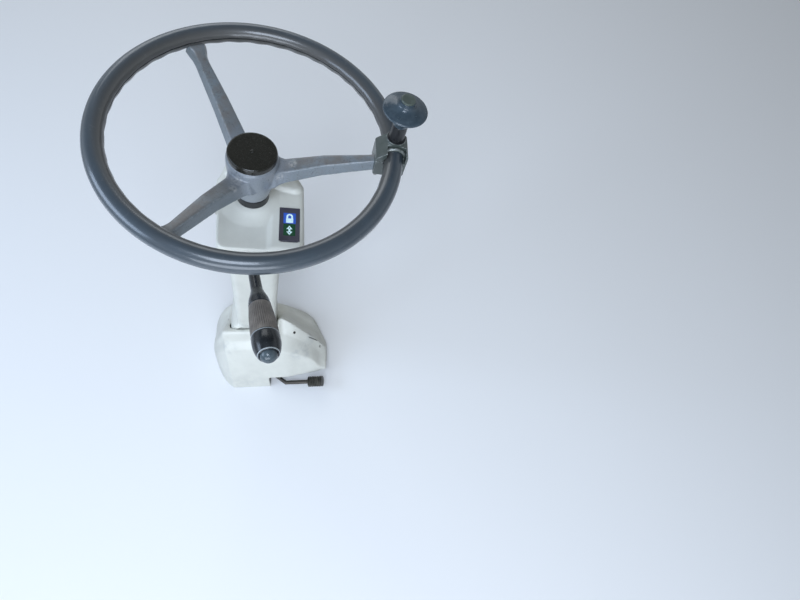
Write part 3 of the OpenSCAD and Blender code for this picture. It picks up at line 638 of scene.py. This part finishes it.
def spoke_rings():
    """Sections of a spoke, from inside the hub to the pad at the rim."""
    out = RIM_R - GRIP_R
    # Columns: distance from the axis, height of the top, thickness and width
    rows = [(14, HUB_TOP - 16, 30, SPOKE_HUB + 18),
            (HUB_R - 3, HUB_TOP - 13, 26, SPOKE_HUB + 11),
            (HUB_R + 1, HUB_TOP - 12.6, 24, SPOKE_HUB + 5),
            (HUB_R + 8, HUB_TOP - 12, 21.5, SPOKE_HUB),
            (out * 0.55, WHEEL_L - 29, 17.5, (SPOKE_HUB + SPOKE_RIM) / 2 + 1),
            (out - 16, WHEEL_L - 12, 15, SPOKE_RIM + 1),
            (out - 7, WHEEL_L - 8.5, 14.5, SPOKE_RIM + SPOKE_PAD / 4),
            (out - 1, WHEEL_L - 5.5, 14, SPOKE_RIM + SPOKE_PAD * 0.7),
            (out + 6, WHEEL_L - 4, 13, SPOKE_RIM + SPOKE_PAD)]
    # The outline of half a section: a low wall, a drafted side and a slightly crowned top
    return [[(r, side * (w / 2 - pull), z - drop) for side, pull, drop in (
        (-1, 0, t), (1, 0, t), (1, 0, t - 3), (1, SPOKE_DRAFT - 0.4, 0.8), (1, SPOKE_DRAFT + 0.6, 0),
        (1, SPOKE_DRAFT + 3, -0.3), (-1, SPOKE_DRAFT + 3, -0.3), (-1, SPOKE_DRAFT + 0.6, 0),
        (-1, SPOKE_DRAFT - 0.4, 0.8), (-1, 0, t - 3))] for r, z, t, w in rows]


class STEERING_OT_spider(bpy.types.Operator):
    """Models the cast spider: a flared hub and three drafted spokes with fillets and pads"""
    bl_idname = "steering.spider"
    bl_label = "Spider"

    def execute(self, context):
        flare = HUB_R - HUB_FOOT_R
        bm = bmesh.new()
        side = curved([(HUB_FOOT_R + flare * f, HUB_FOOT + HUB_H * h) for f, h in
                       ((0, 0.02), (0.2, 0.12), (0.56, 0.32), (0.86, 0.56), (1, 0.78))], 3)
        spun(bm, [(0, HUB_FOOT), (HUB_FOOT_R - 1, HUB_FOOT)] + side
             + [(HUB_R, HUB_TOP - 4), (CAP_R, HUB_TOP), (0, HUB_TOP)], 96)
        for i in range(3):
            arm = drawn(lofted, spoke_rings())
            bmesh.ops.recalc_face_normals(arm, faces=arm.faces)
            bmesh.ops.rotate(arm, cent=(0, 0, 0), verts=arm.verts,
                             matrix=Matrix.Rotation(radians(SPOKE_TURN + i * 120), 3, "Z"))
            part = bpy.data.meshes.new("arm")
            arm.to_mesh(part)
            arm.free()
            bm.from_mesh(part)
            bpy.data.meshes.remove(part)
        piece("wheel_casting", bm, COLUMN, "wheel", "spider", ["wheel_spider"],
              modifiers=cast(1.0, 9), angle=60)
        return {"FINISHED"}


class STEERING_OT_cap(bpy.types.Operator):
    """Models the hub cap with its bevelled edge and centre pip"""
    bl_idname = "steering.cap"
    bl_label = "Hub cap"

    def execute(self, context):
        pip = context.scene.steering_column.pip_radius * 1000
        bm = bmesh.new()
        spun(bm, [(0, 0), (CAP_R - 0.4, 0), (CAP_R, 0.6), (CAP_R, CAP_H - 3.6), (CAP_R - 0.2, CAP_H - 2.8),
                  (CAP_R - 0.8, CAP_H - 1.7), (CAP_R - 1.7, CAP_H - 0.8), (CAP_R - 2.7, CAP_H - 0.5),
                  (CAP_R - 3.4, CAP_H - 0.5), (pip + 2, CAP_H - 0.5)]
             + [(pip * cos(radians(a)), CAP_H - 0.5 + 0.8 * sin(radians(a))) for a in range(0, 91, 15)], 128)
        bmesh.ops.translate(bm, vec=(0, 0, HUB_TOP), verts=bm.verts)
        piece("cap_disc", bm, COLUMN, "wheel", "cap", ["hub_cap"], angle=30)
        return {"FINISHED"}


def merged_copy(node):
    """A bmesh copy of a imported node, in metres, with its triangles joined."""
    bm = bmesh.new()
    bm.from_mesh(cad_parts[node].data)
    bmesh.ops.remove_doubles(bm, verts=bm.verts, dist=1e-6)
    return bm


class STEERING_OT_clamp(bpy.types.Operator):
    """Models the knob's clamp: a saddle with two cheeks, its strap, screws, lip and stem"""
    bl_idname = "steering.clamp"
    bl_label = "Knob clamp"

    def execute(self, context):
        one = Matrix.Identity(4)
        saddle = tool(drawn(block, (-11.5, -40, -6), (14.4, -4, 40)), CLAMP)
        piece("clamp_saddle", merged_copy("knob_clamp"), one, "wheel", "clamp",
              ["knob_clamp"], modifiers=cut(saddle) + cast(0.55, 4), angle=60)
        piece("clamp_strap_casting", merged_copy("clamp_strap"), one, "wheel", "clamp",
              ["clamp_strap"], modifiers=cast(0.6, 5), angle=60)
        drop(saddle)
        # Lip round the grip where it leaves the saddle
        r = GRIP_R
        lip = drawn(spun, [(r + 0.3, 0), (r + 2.6, 0), (r + 3.6, 0.8), (r + 4, 2.2), (r + 3.6, 3.6),
                           (r + 2.6, 5), (r + 2, 7), (r + 0.3, 7), (r + 0.3, 0)], 72)
        piece("clamp_lip", lip, CLAMP @ Matrix.Translation((0, -8.5, 0)) @ Matrix.Rotation(-pi / 2, 4, "X"),
              "wheel", "clamp", angle=50)
        piece("clamp_screws", merged_copy("clamp_bolts"), one, "wheel", "steel",
              ["clamp_bolts"], modifiers=bevelled(0.4))
        z, r = STEM_Z, STEM_R
        post = drawn(spun, [
            (0, CLAMP_TOP - 2), (STEM_PIN_R, CLAMP_TOP - 2), (STEM_PIN_R, z - 0.5), (r + 2, z - 0.5),
            (r + 2.4, z), (r + 2.2, z + 0.8), (r + 0.4, z + 1.2), (r - 0.4, z + 1.6), (r - 0.4, z + 2.6),
            (r, z + 3.2), (r, KNOB_Z - 0.8), (r - 0.8, KNOB_Z), (STEM_PIN_R, KNOB_Z),
            (STEM_PIN_R, KNOB_Z + KNOB_H - 24), (0, KNOB_Z + KNOB_H - 24)], 96)
        piece("knob_post", post, STEM, "wheel", "black", ["knob_stem"], angle=32)
        return {"FINISHED"}


class STEERING_OT_knob(bpy.types.Operator):
    """Models the spinner knob: a bell with a bright edge, a domed cone, its post and a pad"""
    bl_idname = "steering.knob"
    bl_label = "Spinner knob"

    def execute(self, context):
        z, r = KNOB_Z, KNOB_R
        bell = curved([(STEM_R + 1.5, z + 5), (STEM_R + 5, z + 12), (r - 6, z + 19), (r - 1.4, z + 23.4)], 4)
        cone = curved([(r - 2.6, z + 27.9), (r - 6, z + 29.2), (r - 10, z + 30.4), (POST_R + 3.4, z + 32.8),
                       (POST_R + 0.8, z + 35.4), (POST_R, z + 38)], 4)
        bore = STEM_PIN_R + 0.1
        dish = drawn(spun, [(bore, z + 1), (STEM_R + 0.6, z + 1), (STEM_R + 1, z + 1.4)] + bell
                     + [(r - 0.4, z + 24.4), (r, z + 25.4), (r - 0.1, z + 26.3), (r - 0.6, z + 27.1),
                        (r - 1.4, z + 27.6)] + cone
                     + [(POST_R, z + KNOB_H - 3.3), (POST_R - 0.4, z + KNOB_H - 3), (0, z + KNOB_H - 3),
                        (0, z + KNOB_H - 22), (bore, z + KNOB_H - 22), (bore, z + 1)], 128)
        piece("knob_dish", dish, STEM, "knob", "knob", ["spinner_knob"], angle=32)
        top, r = z + KNOB_H, POST_R
        pad = drawn(spun, [(0, top - 3), (r - 0.7, top - 3), (r - 0.6, top - 1.2), (r - 1, top - 0.5),
                           (r - 1.8, top - 0.1), (r - 3, top), (r - 5, top - 0.25), (0, top - 0.3)], 96)
        piece("knob_pad", pad, STEM, "knob", "knob_pad", ["knob_button"], angle=32)
        return {"FINISHED"}


HEAD_CENTRES = [(-76, -64), (26, -62), (52, -46), (72, -28), (72, 8), (57, 30), (28, 39), (-76, 34)]
HUMP_CENTRES = [(22, -62), (52, -46), (72, -28), (72, 8), (54, 27), (41, 31)]
TRAY_CENTRES = [(-120, -20), (-6, -20), (6, -12), (6, 80), (-120, 80)]
NECK_CENTRES = [((1 if x > 0 else -1) * (NECK_W / 2 - NECK_CORNER),
                 (1 if y > 0 else -1) * (NECK_D / 2 - NECK_CORNER) - NECK_BACK) for x, y in HEAD_CENTRES]
HEAD_R = 14


def head_ring(z, inset):
    """The head's outline at a height, drawn in by an inset."""
    return corner_ring(HEAD_CENTRES, HEAD_R - inset, z)


def neck_ring(z, inset):
    """The neck's outline, with as many points as the head's."""
    return corner_ring(NECK_CENTRES, NECK_CORNER - inset, z, sides_of(HEAD_CENTRES))


class STEERING_OT_head(bpy.types.Operator):
    """Models the head's two moulded shells, with the hump, the tray and the collar's rise"""
    bl_idname = "steering.head"
    bl_label = "Head covers"

    def execute(self, context):
        bm = bmesh.new()
        bmesh.ops.create_uvsphere(bm, u_segments=48, v_segments=32, radius=SOCKET_ROOM_R)
        ball = tool(bm, SOCKET)
        hump = tool(drawn(lofted, [corner_ring(HUMP_CENTRES, HEAD_R - i, HEAD_Z + z) for i, z in (
            (0.5, -9), (1.5, -2), (2.6, 0), (4, 2), (5.4, 3.4), (7, 4.6), (9, 5.6), (11, 6))]), COLUMN)
        tray = tool(drawn(lofted, [corner_ring(TRAY_CENTRES, r, HEAD_Z + z) for r, z in (
            (2, -2.5), (3, -2.3), (5, -1.7), (8, -0.7), (10, -0.1), (12, 1))]), COLUMN)
        rise = curved([(COLLAR_R + 38, HEAD_Z - 3.6), (COLLAR_R + 26, HEAD_Z - 2.2),
                       (COLLAR_R + 14, HEAD_Z + 0.4), (COLLAR_R + 5, HEAD_Z + 3.2),
                       (COLLAR_R - 1, COLLAR_LOW)], 3)
        boss = tool(drawn(spun, [(0, HEAD_Z - 5), (COLLAR_R + 30, HEAD_Z - 5)] + rise + [(0, COLLAR_LOW)]),
                    COLUMN)
        inside = tool(drawn(lofted, [head_ring(HEAD_SPLIT - 1, WALL), head_ring(HEAD_Z - 10, WALL),
                                     head_ring(HEAD_Z - 6, 9)]), COLUMN)
        hole = tool(drawn(round_bar, TUBE_R + 0.4, HEAD_Z - 20, HEAD_Z + 21, 96), COLUMN)
        w, d = PANEL_W / 2 - 2, PANEL_D / 2 - 2
        window = tool(drawn(block, (PANEL_X - w, PANEL_Y - d, HEAD_Z - 20),
                            (PANEL_X + w, PANEL_Y + d, HEAD_Z + 10)), COLUMN)
        shell = drawn(lofted, [head_ring(HEAD_SPLIT, 0.6), head_ring(HEAD_SPLIT + 0.6, 0)]
                      + [head_ring(HEAD_Z - down, inset) for down, inset in (
                          (9, 0), (6, 0.5), (4, 1.5), (2.4, 2.7), (1, 4.5), (0, 8))])
        piece("head_shell_upper", shell, COLUMN, "column", "cover", ["head_upper"], angle=60,
              modifiers=cut(hump, operation="UNION") + cut(tray) + cut(boss, operation="UNION")
              + cut(inside, hole, window, ball) + cast(1.15, 5))
        drop(hump, tray, boss, inside, hole, window)
        inside = tool(drawn(lofted, [neck_ring(NECK_TOP - 1, WALL), neck_ring(NECK_TOP + 6, WALL)]
                            + [head_ring(z, inset) for z, inset in (
                                (HEAD_LOW + WALL, 5 + WALL), (HEAD_LOW + 9, WALL), (HEAD_SPLIT + 1, WALL))]),
                      COLUMN)
        shell = drawn(lofted, [neck_ring(NECK_TOP, 0), neck_ring(NECK_TOP + 6, 0)]
                      + [head_ring(z, inset) for z, inset in (
                          (HEAD_LOW, 5), (HEAD_LOW + 5, 1), (HEAD_LOW + 9, 0), (HEAD_SPLIT - 1.4, 0),
                          (HEAD_SPLIT - 0.6, 0.8))])
        piece("head_shell_lower", shell, COLUMN, "column", "cover", ["head_lower"], angle=60,
              modifiers=cut(inside, ball) + cast(1.3, 5))
        drop(inside, ball)
        return {"FINISHED"}


class STEERING_OT_panel(bpy.types.Operator):
    """Models the tell-tale panel: a framed plate with a lock sign and a height arrow"""
    bl_idname = "steering.panel"
    bl_label = "Tell-tale panel"

    def execute(self, context):
        place = COLUMN @ Matrix.Translation((PANEL_X, PANEL_Y, HEAD_Z))
        w, d = PANEL_W / 2, PANEL_D / 2
        bm = bmesh.new()
        block(bm, (-w + 2.6, -d, 0), (w, d, PANEL_T))
        top = [f for f in bm.faces if f.normal.z > 0.9]
        bmesh.ops.inset_region(bm, faces=top, thickness=1.2, depth=0)
        bmesh.ops.translate(bm, vec=(0, 0, -0.35), verts=top[0].verts)
        block(bm, (-w + 2.3, -d + 2.3, -3), (w - 2.3, d - 2.3, 0.05))
        piece("panel_frame", bm, place, "column", "panel", ["telltale_panel"],
              modifiers=bevelled(0.35))
        # Signs lie with their tops to the machine's right; x runs along them, y across
        face = PANEL_T - 0.35
        arch = [(cos(radians(a)), sin(radians(a))) for a in range(0, 181, 15)]
        shackle = ([(4.8, 11)] + [(4.8 * c, 14.4 + 4.8 * s) for c, s in arch] + [(-4.8, 11), (-2.2, 11)]
                   + [(-2.2 * c, 14.4 + 2.2 * s) for c, s in arch] + [(2.2, 11)])
        arrow = [(1.5, -11.6), (4.4, -11.6), (0, -17.6), (-4.4, -11.6), (-1.5, -11.6), (-1.5, -7.4),
                 (-4.4, -7.4), (0, -1.4), (4.4, -7.4), (1.5, -7.4)]
        cores = [[(1.3, -12.8), (0, -15), (-1.3, -12.8)], [(1.3, -6.2), (-1.3, -6.2), (0, -4)]]
        for name, finish, low, outlines in (
                ("panel_blue", "blue", 0.0, [[(-9, 2.4), (9, 2.4), (9, 20.6), (-9, 20.6)]]),
                ("panel_green", "green", 0.0, [[(-8.7, -18.6), (8.5, -18.6), (8.5, 1.6), (-8.7, 1.6)]]),
                ("panel_signs", "white", 0.12, [[(-5.2, 3.6), (5.2, 3.6), (5.2, 11.2), (-5.2, 11.2)],
                                                shackle, arrow]),
                ("panel_cores", "green", 0.2, cores)):
            bm = bmesh.new()
            for outline in outlines:
                base = bm.faces.new([bm.verts.new((v, -u, face + low)) for u, v in outline])
                raised = bmesh.ops.extrude_face_region(bm, geom=[base])["geom"]
                bmesh.ops.translate(bm, vec=(0, 0, 0.15),
                                    verts=[v for v in raised if isinstance(v, bmesh.types.BMVert)])
            piece(name, bm, place, "column", finish, angle=30)
        return {"FINISHED"}


def barrel_skin(half, outer, corner):
    """Outline of a barrel from one rounded end to the other."""
    turns = [radians(k * 15) for k in range(7)]
    return ([(outer - corner + corner * sin(a), -half + corner - corner * cos(a)) for a in turns]
            + [(outer - corner + corner * cos(a), half - corner + corner * sin(a)) for a in turns])


def flatten_front(bm, outer, depth):
    """Draws a barrel in at its front, where the neck is drawn in too."""
    for v in bm.verts:
        v.co.y *= 1 - depth / outer if v.co.y > 0 else 1


class STEERING_OT_neck(bpy.types.Operator):
    """Models the neck cover with its barrel foot, and the collar under the hub"""
    bl_idname = "steering.neck"
    bl_label = "Neck and collar"

    def execute(self, context):
        bm = merged_copy("neck_cover")
        bmesh.ops.subdivide_edges(bm, edges=[e for e in bm.edges if e.calc_length() > 0.03], cuts=6)
        into = COLUMN.inverted()
        for v in bm.verts:
            spot = into @ v.co
            # The front wall draws in towards the foot
            share = min(1.0, max(0.0, (NECK_TOP - 20 - spot.z) / (NECK_TOP - 40))) if spot.y > 0 else 0.0
            spot.y -= NECK_DRAW * share * min(1.0, spot.y / 30)
            v.co = COLUMN @ spot
        piece("neck_shell", bm, Matrix.Identity(4), "column", "cover", ["neck_cover"],
              angle=60, modifiers=cast(1.75, 4))
        # Barrel round the pivot that fills the slot in the foot cover, open below the neck
        half, outer, inner, corner = NECK_W / 2 + 0.4, NECK_D / 2 + 6.4, NECK_D / 2 + 4, 7
        skin = barrel_skin(half, outer, corner)
        barrel = drawn(spun, skin + [(outer - corner, half - 2), (inner, half - corner),
                                     (inner, -half + corner), (outer - corner, -half + 2), skin[0]], 128)
        flatten_front(barrel, outer, BARREL_DRAW)
        below = tool(drawn(block, (-60, -80, -80), (60, 80, -14)), PIVOT)
        piece("neck_barrel", barrel, PIVOT @ SIDEWAYS, "column", "cover",
              modifiers=cut(below))
        drop(below)
        r, low, high = COLLAR_R, COLLAR_LOW, HUB_FOOT - 0.4
        collar = drawn(spun, [(TUBE_R + 0.2, low), (r - 0.6, low), (r, low + 0.5), (r, high - 0.6),
                              (r - 0.6, high), (SHAFT_R + 0.1, high), (SHAFT_R + 0.1, TUBE_TOP),
                              (TUBE_R + 0.2, TUBE_TOP), (TUBE_R + 0.2, low)], 96)
        piece("collar_ring", collar, COLUMN, "column", "black", ["shaft_collar"], angle=32)
        return {"FINISHED"}


# Sections of the foot cover. Columns: the place along Y; on the left, the reach at the floor
# and the reach and height of the wall's top; the ridge's place to the left and its height; the
# way the wall leans in from here; on the right, the reach at the floor and the reach and height
# of the wall's top
FOOT_SECTIONS = [
    (86, 34, 30, 8, 20, 13, -1, 6, 2, 7),
    (81, 56, 44, 30, 30, 36, -1, 38, 24, 24),
    (70, 84, 60, 58, 36, 68, -1, 60, 36, 46),
    (56, 108, 68, 84, 42, 102, -1, 72, 42, 66),
    (42, 121, 73, 104, 48, 136, -1, 77, 45, 78),
    (31, 124, 76, 113, 52, 156, -1, 78, 48, 84),
    (-26, 124, 77, 114, 52, 155, 0, 78, 50, 84),
    (-62, 124, 78, 108, 48, 153, 0, 76, 46, 82),
    (-80, 124, 78, 104, 22, 149, 0, 72, 42, 78),
    (-92, 123, 79, 98, 24, 145, 0, 69, 39, 72),
    (-106, 120, 80, 89, 28, 133, 1, 65, 35, 60),
    (-124, 118, 82, 77, 32, 106, 1, 55, 30, 44),
    (-142, 117, 85, 61, 37, 80, 1, 38, 20, 32),
    (-158, 114, 93, 37, 42, 55, 1, 4, -6, 18),
    (-171, 108, 97, 29.5, 46, 34, 1, -28, -30, 12)]
FOOT_SPLIT = -6
# Screws of the foot: where each head sits and the way its face looks
FOOT_SCREWS = (((0.6, 37.0, 101.3), (0.52, 0.38, 0.77)),
               ((-43.5, -110.6, 117.0), (-0.66, -0.59, 0.46)))


def foot_ring(s, inset, floor_z):
    """One section of the foot cover, from the right side to the left, drawn in by an inset."""
    y, b, w, h, t, top, lean, rb, rw, rh = s
    y, b, w, t, top = y + lean * inset, b - inset, w - inset, t - inset, top - 1.4 * inset
    rb, rw, rh = rb - inset, rw - inset, rh - inset
    fall = top - rh
    return [(rb, y, floor_z), (rb - (rb - rw) * 0.45, y, rh * 0.55), (rw, y, rh),
            ((t + rw) * 0.75 - t, y, top - fall * 0.9), ((t + rw) * 0.45 - t, y, top - fall * 0.62),
            ((t + rw) * 0.18 - t, y, top - fall * 0.2), (-t, y, top),
            ((w - t) * 0.1 - (w + t) / 2, y, (h + top) / 2 - (top - h) * 0.1), (-w, y, h),
            ((b - w) * 0.45 - b, y, h * 0.5), (-b, y, floor_z)]


def foot_rings(sections, inset, floor_z, across, along):
    """Sections of the foot cover with more between them, creased along its ridge at the rear."""
    rings = []
    for s in sections:
        points = foot_ring(s, inset, floor_z)
        crease = min(1.0, max(0.0, (-50 - s[0]) / 40))
        sharp = curved(points[:7], across)[:-1] + curved(points[6:], across)
        soft = [a.lerp(b, crease) for a, b in zip(curved(points, across), sharp)]
        # The shoulder above the near wall keeps part of its edge
        edge = curved(points[7:9], across)[:-1] + curved(points[8:], across)
        rings.append(soft[:7 * across] + [a.lerp(b, 0.7) for a, b in zip(soft[7 * across:], edge)])
    columns = [curved(column, along) for column in zip(*rings)]
    return [list(ring) for ring in zip(*columns)]


class STEERING_OT_foot(bpy.types.Operator):
    """Models the two halves of the foot cover, their screws, the slit and the pedal's notch"""
    bl_idname = "steering.foot"
    bl_label = "Foot covers"

    def execute(self, context):
        hollow = [s[:5] + (s[5] - (14 if s[0] < -60 else 0),) + s[6:] for s in FOOT_SECTIONS[1:-1]]
        inside = tool(drawn(lofted, foot_rings(hollow, WALL, -1, 2, 2)))
        half, outer = NECK_W / 2 + 1.3, NECK_D / 2 + 9.5
        slot = drawn(spun, [(0, -half)] + barrel_skin(half, outer, 10) + [(0, half)])
        flatten_front(slot, outer, SLOT_DRAW)
        barrel = tool(slot, PIVOT @ SIDEWAYS)
        # Room behind the neck for its furthest tilt
        back = -NECK_D / 2 - NECK_BACK
        swing = tool(drawn(block, (-NECK_W / 2 - 1.8, back - 1.6, 8), (NECK_W / 2 + 1.8, back + 30, 110)),
                     COLUMN @ Matrix.Rotation(radians(TILT_NEAR), 4, "X"))
        notch = tool(drawn(block, (-160, -204, -1), (-70, -44, 28)))
        pockets = []
        for point, way in FOOT_SCREWS:
            pockets.append(tool(drawn(round_bar, 2.7, -7, 9, 32), facing(point, way)))
            head = drawn(spun, [(0, -6), (2.6, -6), (2.6, -3.4), (2.2, -2.9), (1.1, -2.8), (1, -4),
                                (0, -4)], 32)
            piece("foot_screw_%d" % len(pockets), head, facing(point, way), "base", "rod",
                  angle=30)
        # Slit beside the ridge, and the small notch below it
        slit = Matrix(((1, 0, 0), (0, -0.58, -0.81), (0, 0.81, -0.58))).transposed().to_4x4()
        pockets.append(tool(drawn(block, (-1.3, -15, -6), (1.3, 15, 6)),
                            MM @ Matrix.Translation((-39.8, -144.7, 72.8)) @ slit))
        pockets.append(tool(drawn(block, (-52, -170, 47), (-46, -156, 52))))
        for name, low, high in (("left", -200, FOOT_SPLIT - 0.15), ("right", FOOT_SPLIT + 0.15, 200)):
            keep = tool(drawn(block, (low, -250, -1), (high, 150, 249)))
            piece("foot_shell_" + name, drawn(lofted, foot_rings(FOOT_SECTIONS, 0, 0, 4, 4)), MM, "base",
                  "cover", ["foot_cover_" + name], angle=50,
                  modifiers=cut(inside, barrel, swing, notch) + cast(1.6, 4) + cut(*pockets)
                  + cut(keep, operation="INTERSECT"))
            drop(keep)
        drop(inside, barrel, swing, notch, *pockets)
        return {"FINISHED"}


class STEERING_OT_lever(bpy.types.Operator):
    """Models the combination lever: a glossy shoulder, a ribbed grip, rings and a domed button"""
    bl_idname = "steering.lever"
    bl_label = "Combination lever"

    def execute(self, context):
        look = context.scene.steering_column
        ribs, depth = look.rib_count, look.rib_depth * 1000
        start, join, band, end = LEVER_L - 131, LEVER_L - 96, LEVER_L - 43, LEVER_L - 10
        r = LEVER_GRIP_R
        outline = curved([(12, LEVER_STALK_R + 0.2), (20, 7.6), (34, 8), (start - 4, 8.2), (start + 4, 8.8),
                          (start + 14, 11.4), (start + 24, 14.2), (join + 6, 16), (join + 24, 17.6),
                          (band, 18.8), (band + 10, r), (band + 18, 18.6), (end - 6, 16.6),
                          (end - 1, 14.2)], 5)
        shoulder = [(p[1], p[0]) for p in outline if p[0] < join]
        ribbed = [(p[1], p[0]) for p in outline if join + 0.6 < p[0] < band - 0.6]
        cuff = [(p[1], p[0]) for p in outline if p[0] > band + 1.2]
        stalk = LEVER_STALK_R - 1
        bm = drawn(spun, [(stalk, 12)] + shoulder + [(shoulder[-1][0] - 0.8, join), (0, join), (0, start),
                                                     (stalk, start), (stalk, 12)])
        piece("lever_shoulder", bm, LEVER, "lever", "lever", ["lever_grip"], angle=35)
        bm = drawn(spun, [(0, join), (ribbed[0][0] - 1.2, join), (ribbed[0][0] - 0.2, join + 0.5)] + ribbed
                   + [(ribbed[-1][0] - 0.6, band), (0, band)], ribs * 6)
        for v in bm.verts:
            if join + 1.5 < v.co.z < band - 0.9 and v.co.xy.length > 5:
                fade = min(1.0, (v.co.z - join - 1.5) / 6)
                groove = depth * fade * (0.5 - 0.5 * cos(atan2(v.co.y, v.co.x) * ribs)) ** 2
                v.co.xy *= 1 - groove / v.co.xy.length
        piece("lever_grip_skin", bm, LEVER, "lever", "lever_grip", angle=40)
        bm = drawn(spun, [(0, band), (17.6, band), (17.8, band + 0.8)] + cuff
                   + [(13.6, end), (12.6, end + 0.6), (11.9, end + 0.3), (11.7, end - 1), (11.7, end - 6),
                      (0, end - 6)])
        piece("lever_band_ring", bm, LEVER, "lever", "lever", ["lever_band"], angle=30)
        # Two pale rings at the ends of the band: their pale colour is a painted highlight, standing for the
        # bright arcs that light draws on these edges.
        bm = bmesh.new()
        for at, size in ((band + 1.4, 18.95), (end - 1.6, 14.7)):
            spun(bm, [(size - 2, at), (size - 0.3, at), (size, at + 0.4), (size - 0.1, at + 1),
                      (size - 0.5, at + 1.5), (size - 2, at + 1.5), (size - 2, at)], 96)
        piece("lever_rings", bm, LEVER, "lever", "ring", angle=30)
        dome = curved([(11.4, end + 0.5), (10.8, end + 3.2), (8.6, end + 6.4), (4.8, end + 9),
                       (0, LEVER_L)], 4)
        bm = drawn(spun, [(0, end - 4), (11.4, end - 4)] + dome)
        piece("lever_button_dome", bm, LEVER, "lever", "button", ["lever_button"], angle=40)
        return {"FINISHED"}


class STEERING_OT_frame(bpy.types.Operator):
    """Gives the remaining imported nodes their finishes"""
    bl_idname = "steering.frame_nodes"
    bl_label = "Metal and rubber parts"

    def execute(self, context):
        for finish, nodes in {
                "steel": ["base_plate", "pivot_bracket", "pedal_bracket", "column_fork", "column_tube"],
                "bright": ["pivot_pins", "pedal_pin", "lever_pin", "steering_shaft"],
                "black": ["lever_socket"], "lever": ["lever_stalk"], "rod": ["pedal_arm"]}.items():
            for node in nodes:
                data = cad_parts[node].data
                for i in range(len(data.materials)):
                    data.materials[i] = finish_of(finish)
        # The sleeve's ribs stand on the last length of the pedal's rod
        along = Vector((-4, -70, 13)).normalized()
        start, r, step = 52.0, SLEEVE_R, 3.9
        ribs = [p for i in range(8) for p in (
            (r - 1.6, start + step * i), (r + 0.2, start + step * i + 0.7), (r + 1, start + step * i + 1.6),
            (r + 0.2, start + step * i + 2.5), (r - 1.6, start + step * i + 3.2))]
        end = start + step * 8
        sleeve = drawn(spun, [(0, start)] + ribs + [(r - 1.6, end), (r + 0.6, end + 0.6),
                                                    (r + 0.6, end + 1.6), (r - 1.2, end + 2.4),
                                                    (0, end + 2.4)], 64)
        piece("pedal_ribs", sleeve, facing((-122, -80, 18), along), "pedal", "rubber",
              ["pedal_sleeve"], angle=40)
        return {"FINISHED"}


class STEERING_PT_panel(bpy.types.Panel):
    """Lists the sizes, the colours and the operators"""
    bl_label = "Steering column"
    bl_idname = "STEERING_PT_panel"
    bl_space_type = "VIEW_3D"
    bl_region_type = "UI"
    bl_category = "Steering column"

    def draw(self, context):
        layout = self.layout
        for name in SteeringColumnLook.__annotations__:
            layout.prop(context.scene.steering_column, name)
        for kind in OPERATORS:
            layout.operator(kind.bl_idname)


OPERATORS = (STEERING_OT_stage, STEERING_OT_rim, STEERING_OT_spider, STEERING_OT_cap, STEERING_OT_clamp,
             STEERING_OT_knob, STEERING_OT_head, STEERING_OT_panel, STEERING_OT_neck, STEERING_OT_foot,
             STEERING_OT_lever, STEERING_OT_frame)


def register():
    bpy.utils.register_class(SteeringColumnLook)
    for kind in OPERATORS + (STEERING_PT_panel,):
        bpy.utils.register_class(kind)
    bpy.types.Scene.steering_column = PointerProperty(type=SteeringColumnLook)


def unregister():
    del bpy.types.Scene.steering_column
    for kind in (STEERING_PT_panel,) + OPERATORS[::-1]:
        bpy.utils.unregister_class(kind)
    bpy.utils.unregister_class(SteeringColumnLook)


def main():
    register()
    for kind in OPERATORS:
        group, name = kind.bl_idname.split(".")
        getattr(getattr(bpy.ops, group), name)()
    bpy.context.view_layer.update()


if __name__ == "__main__":
    main()
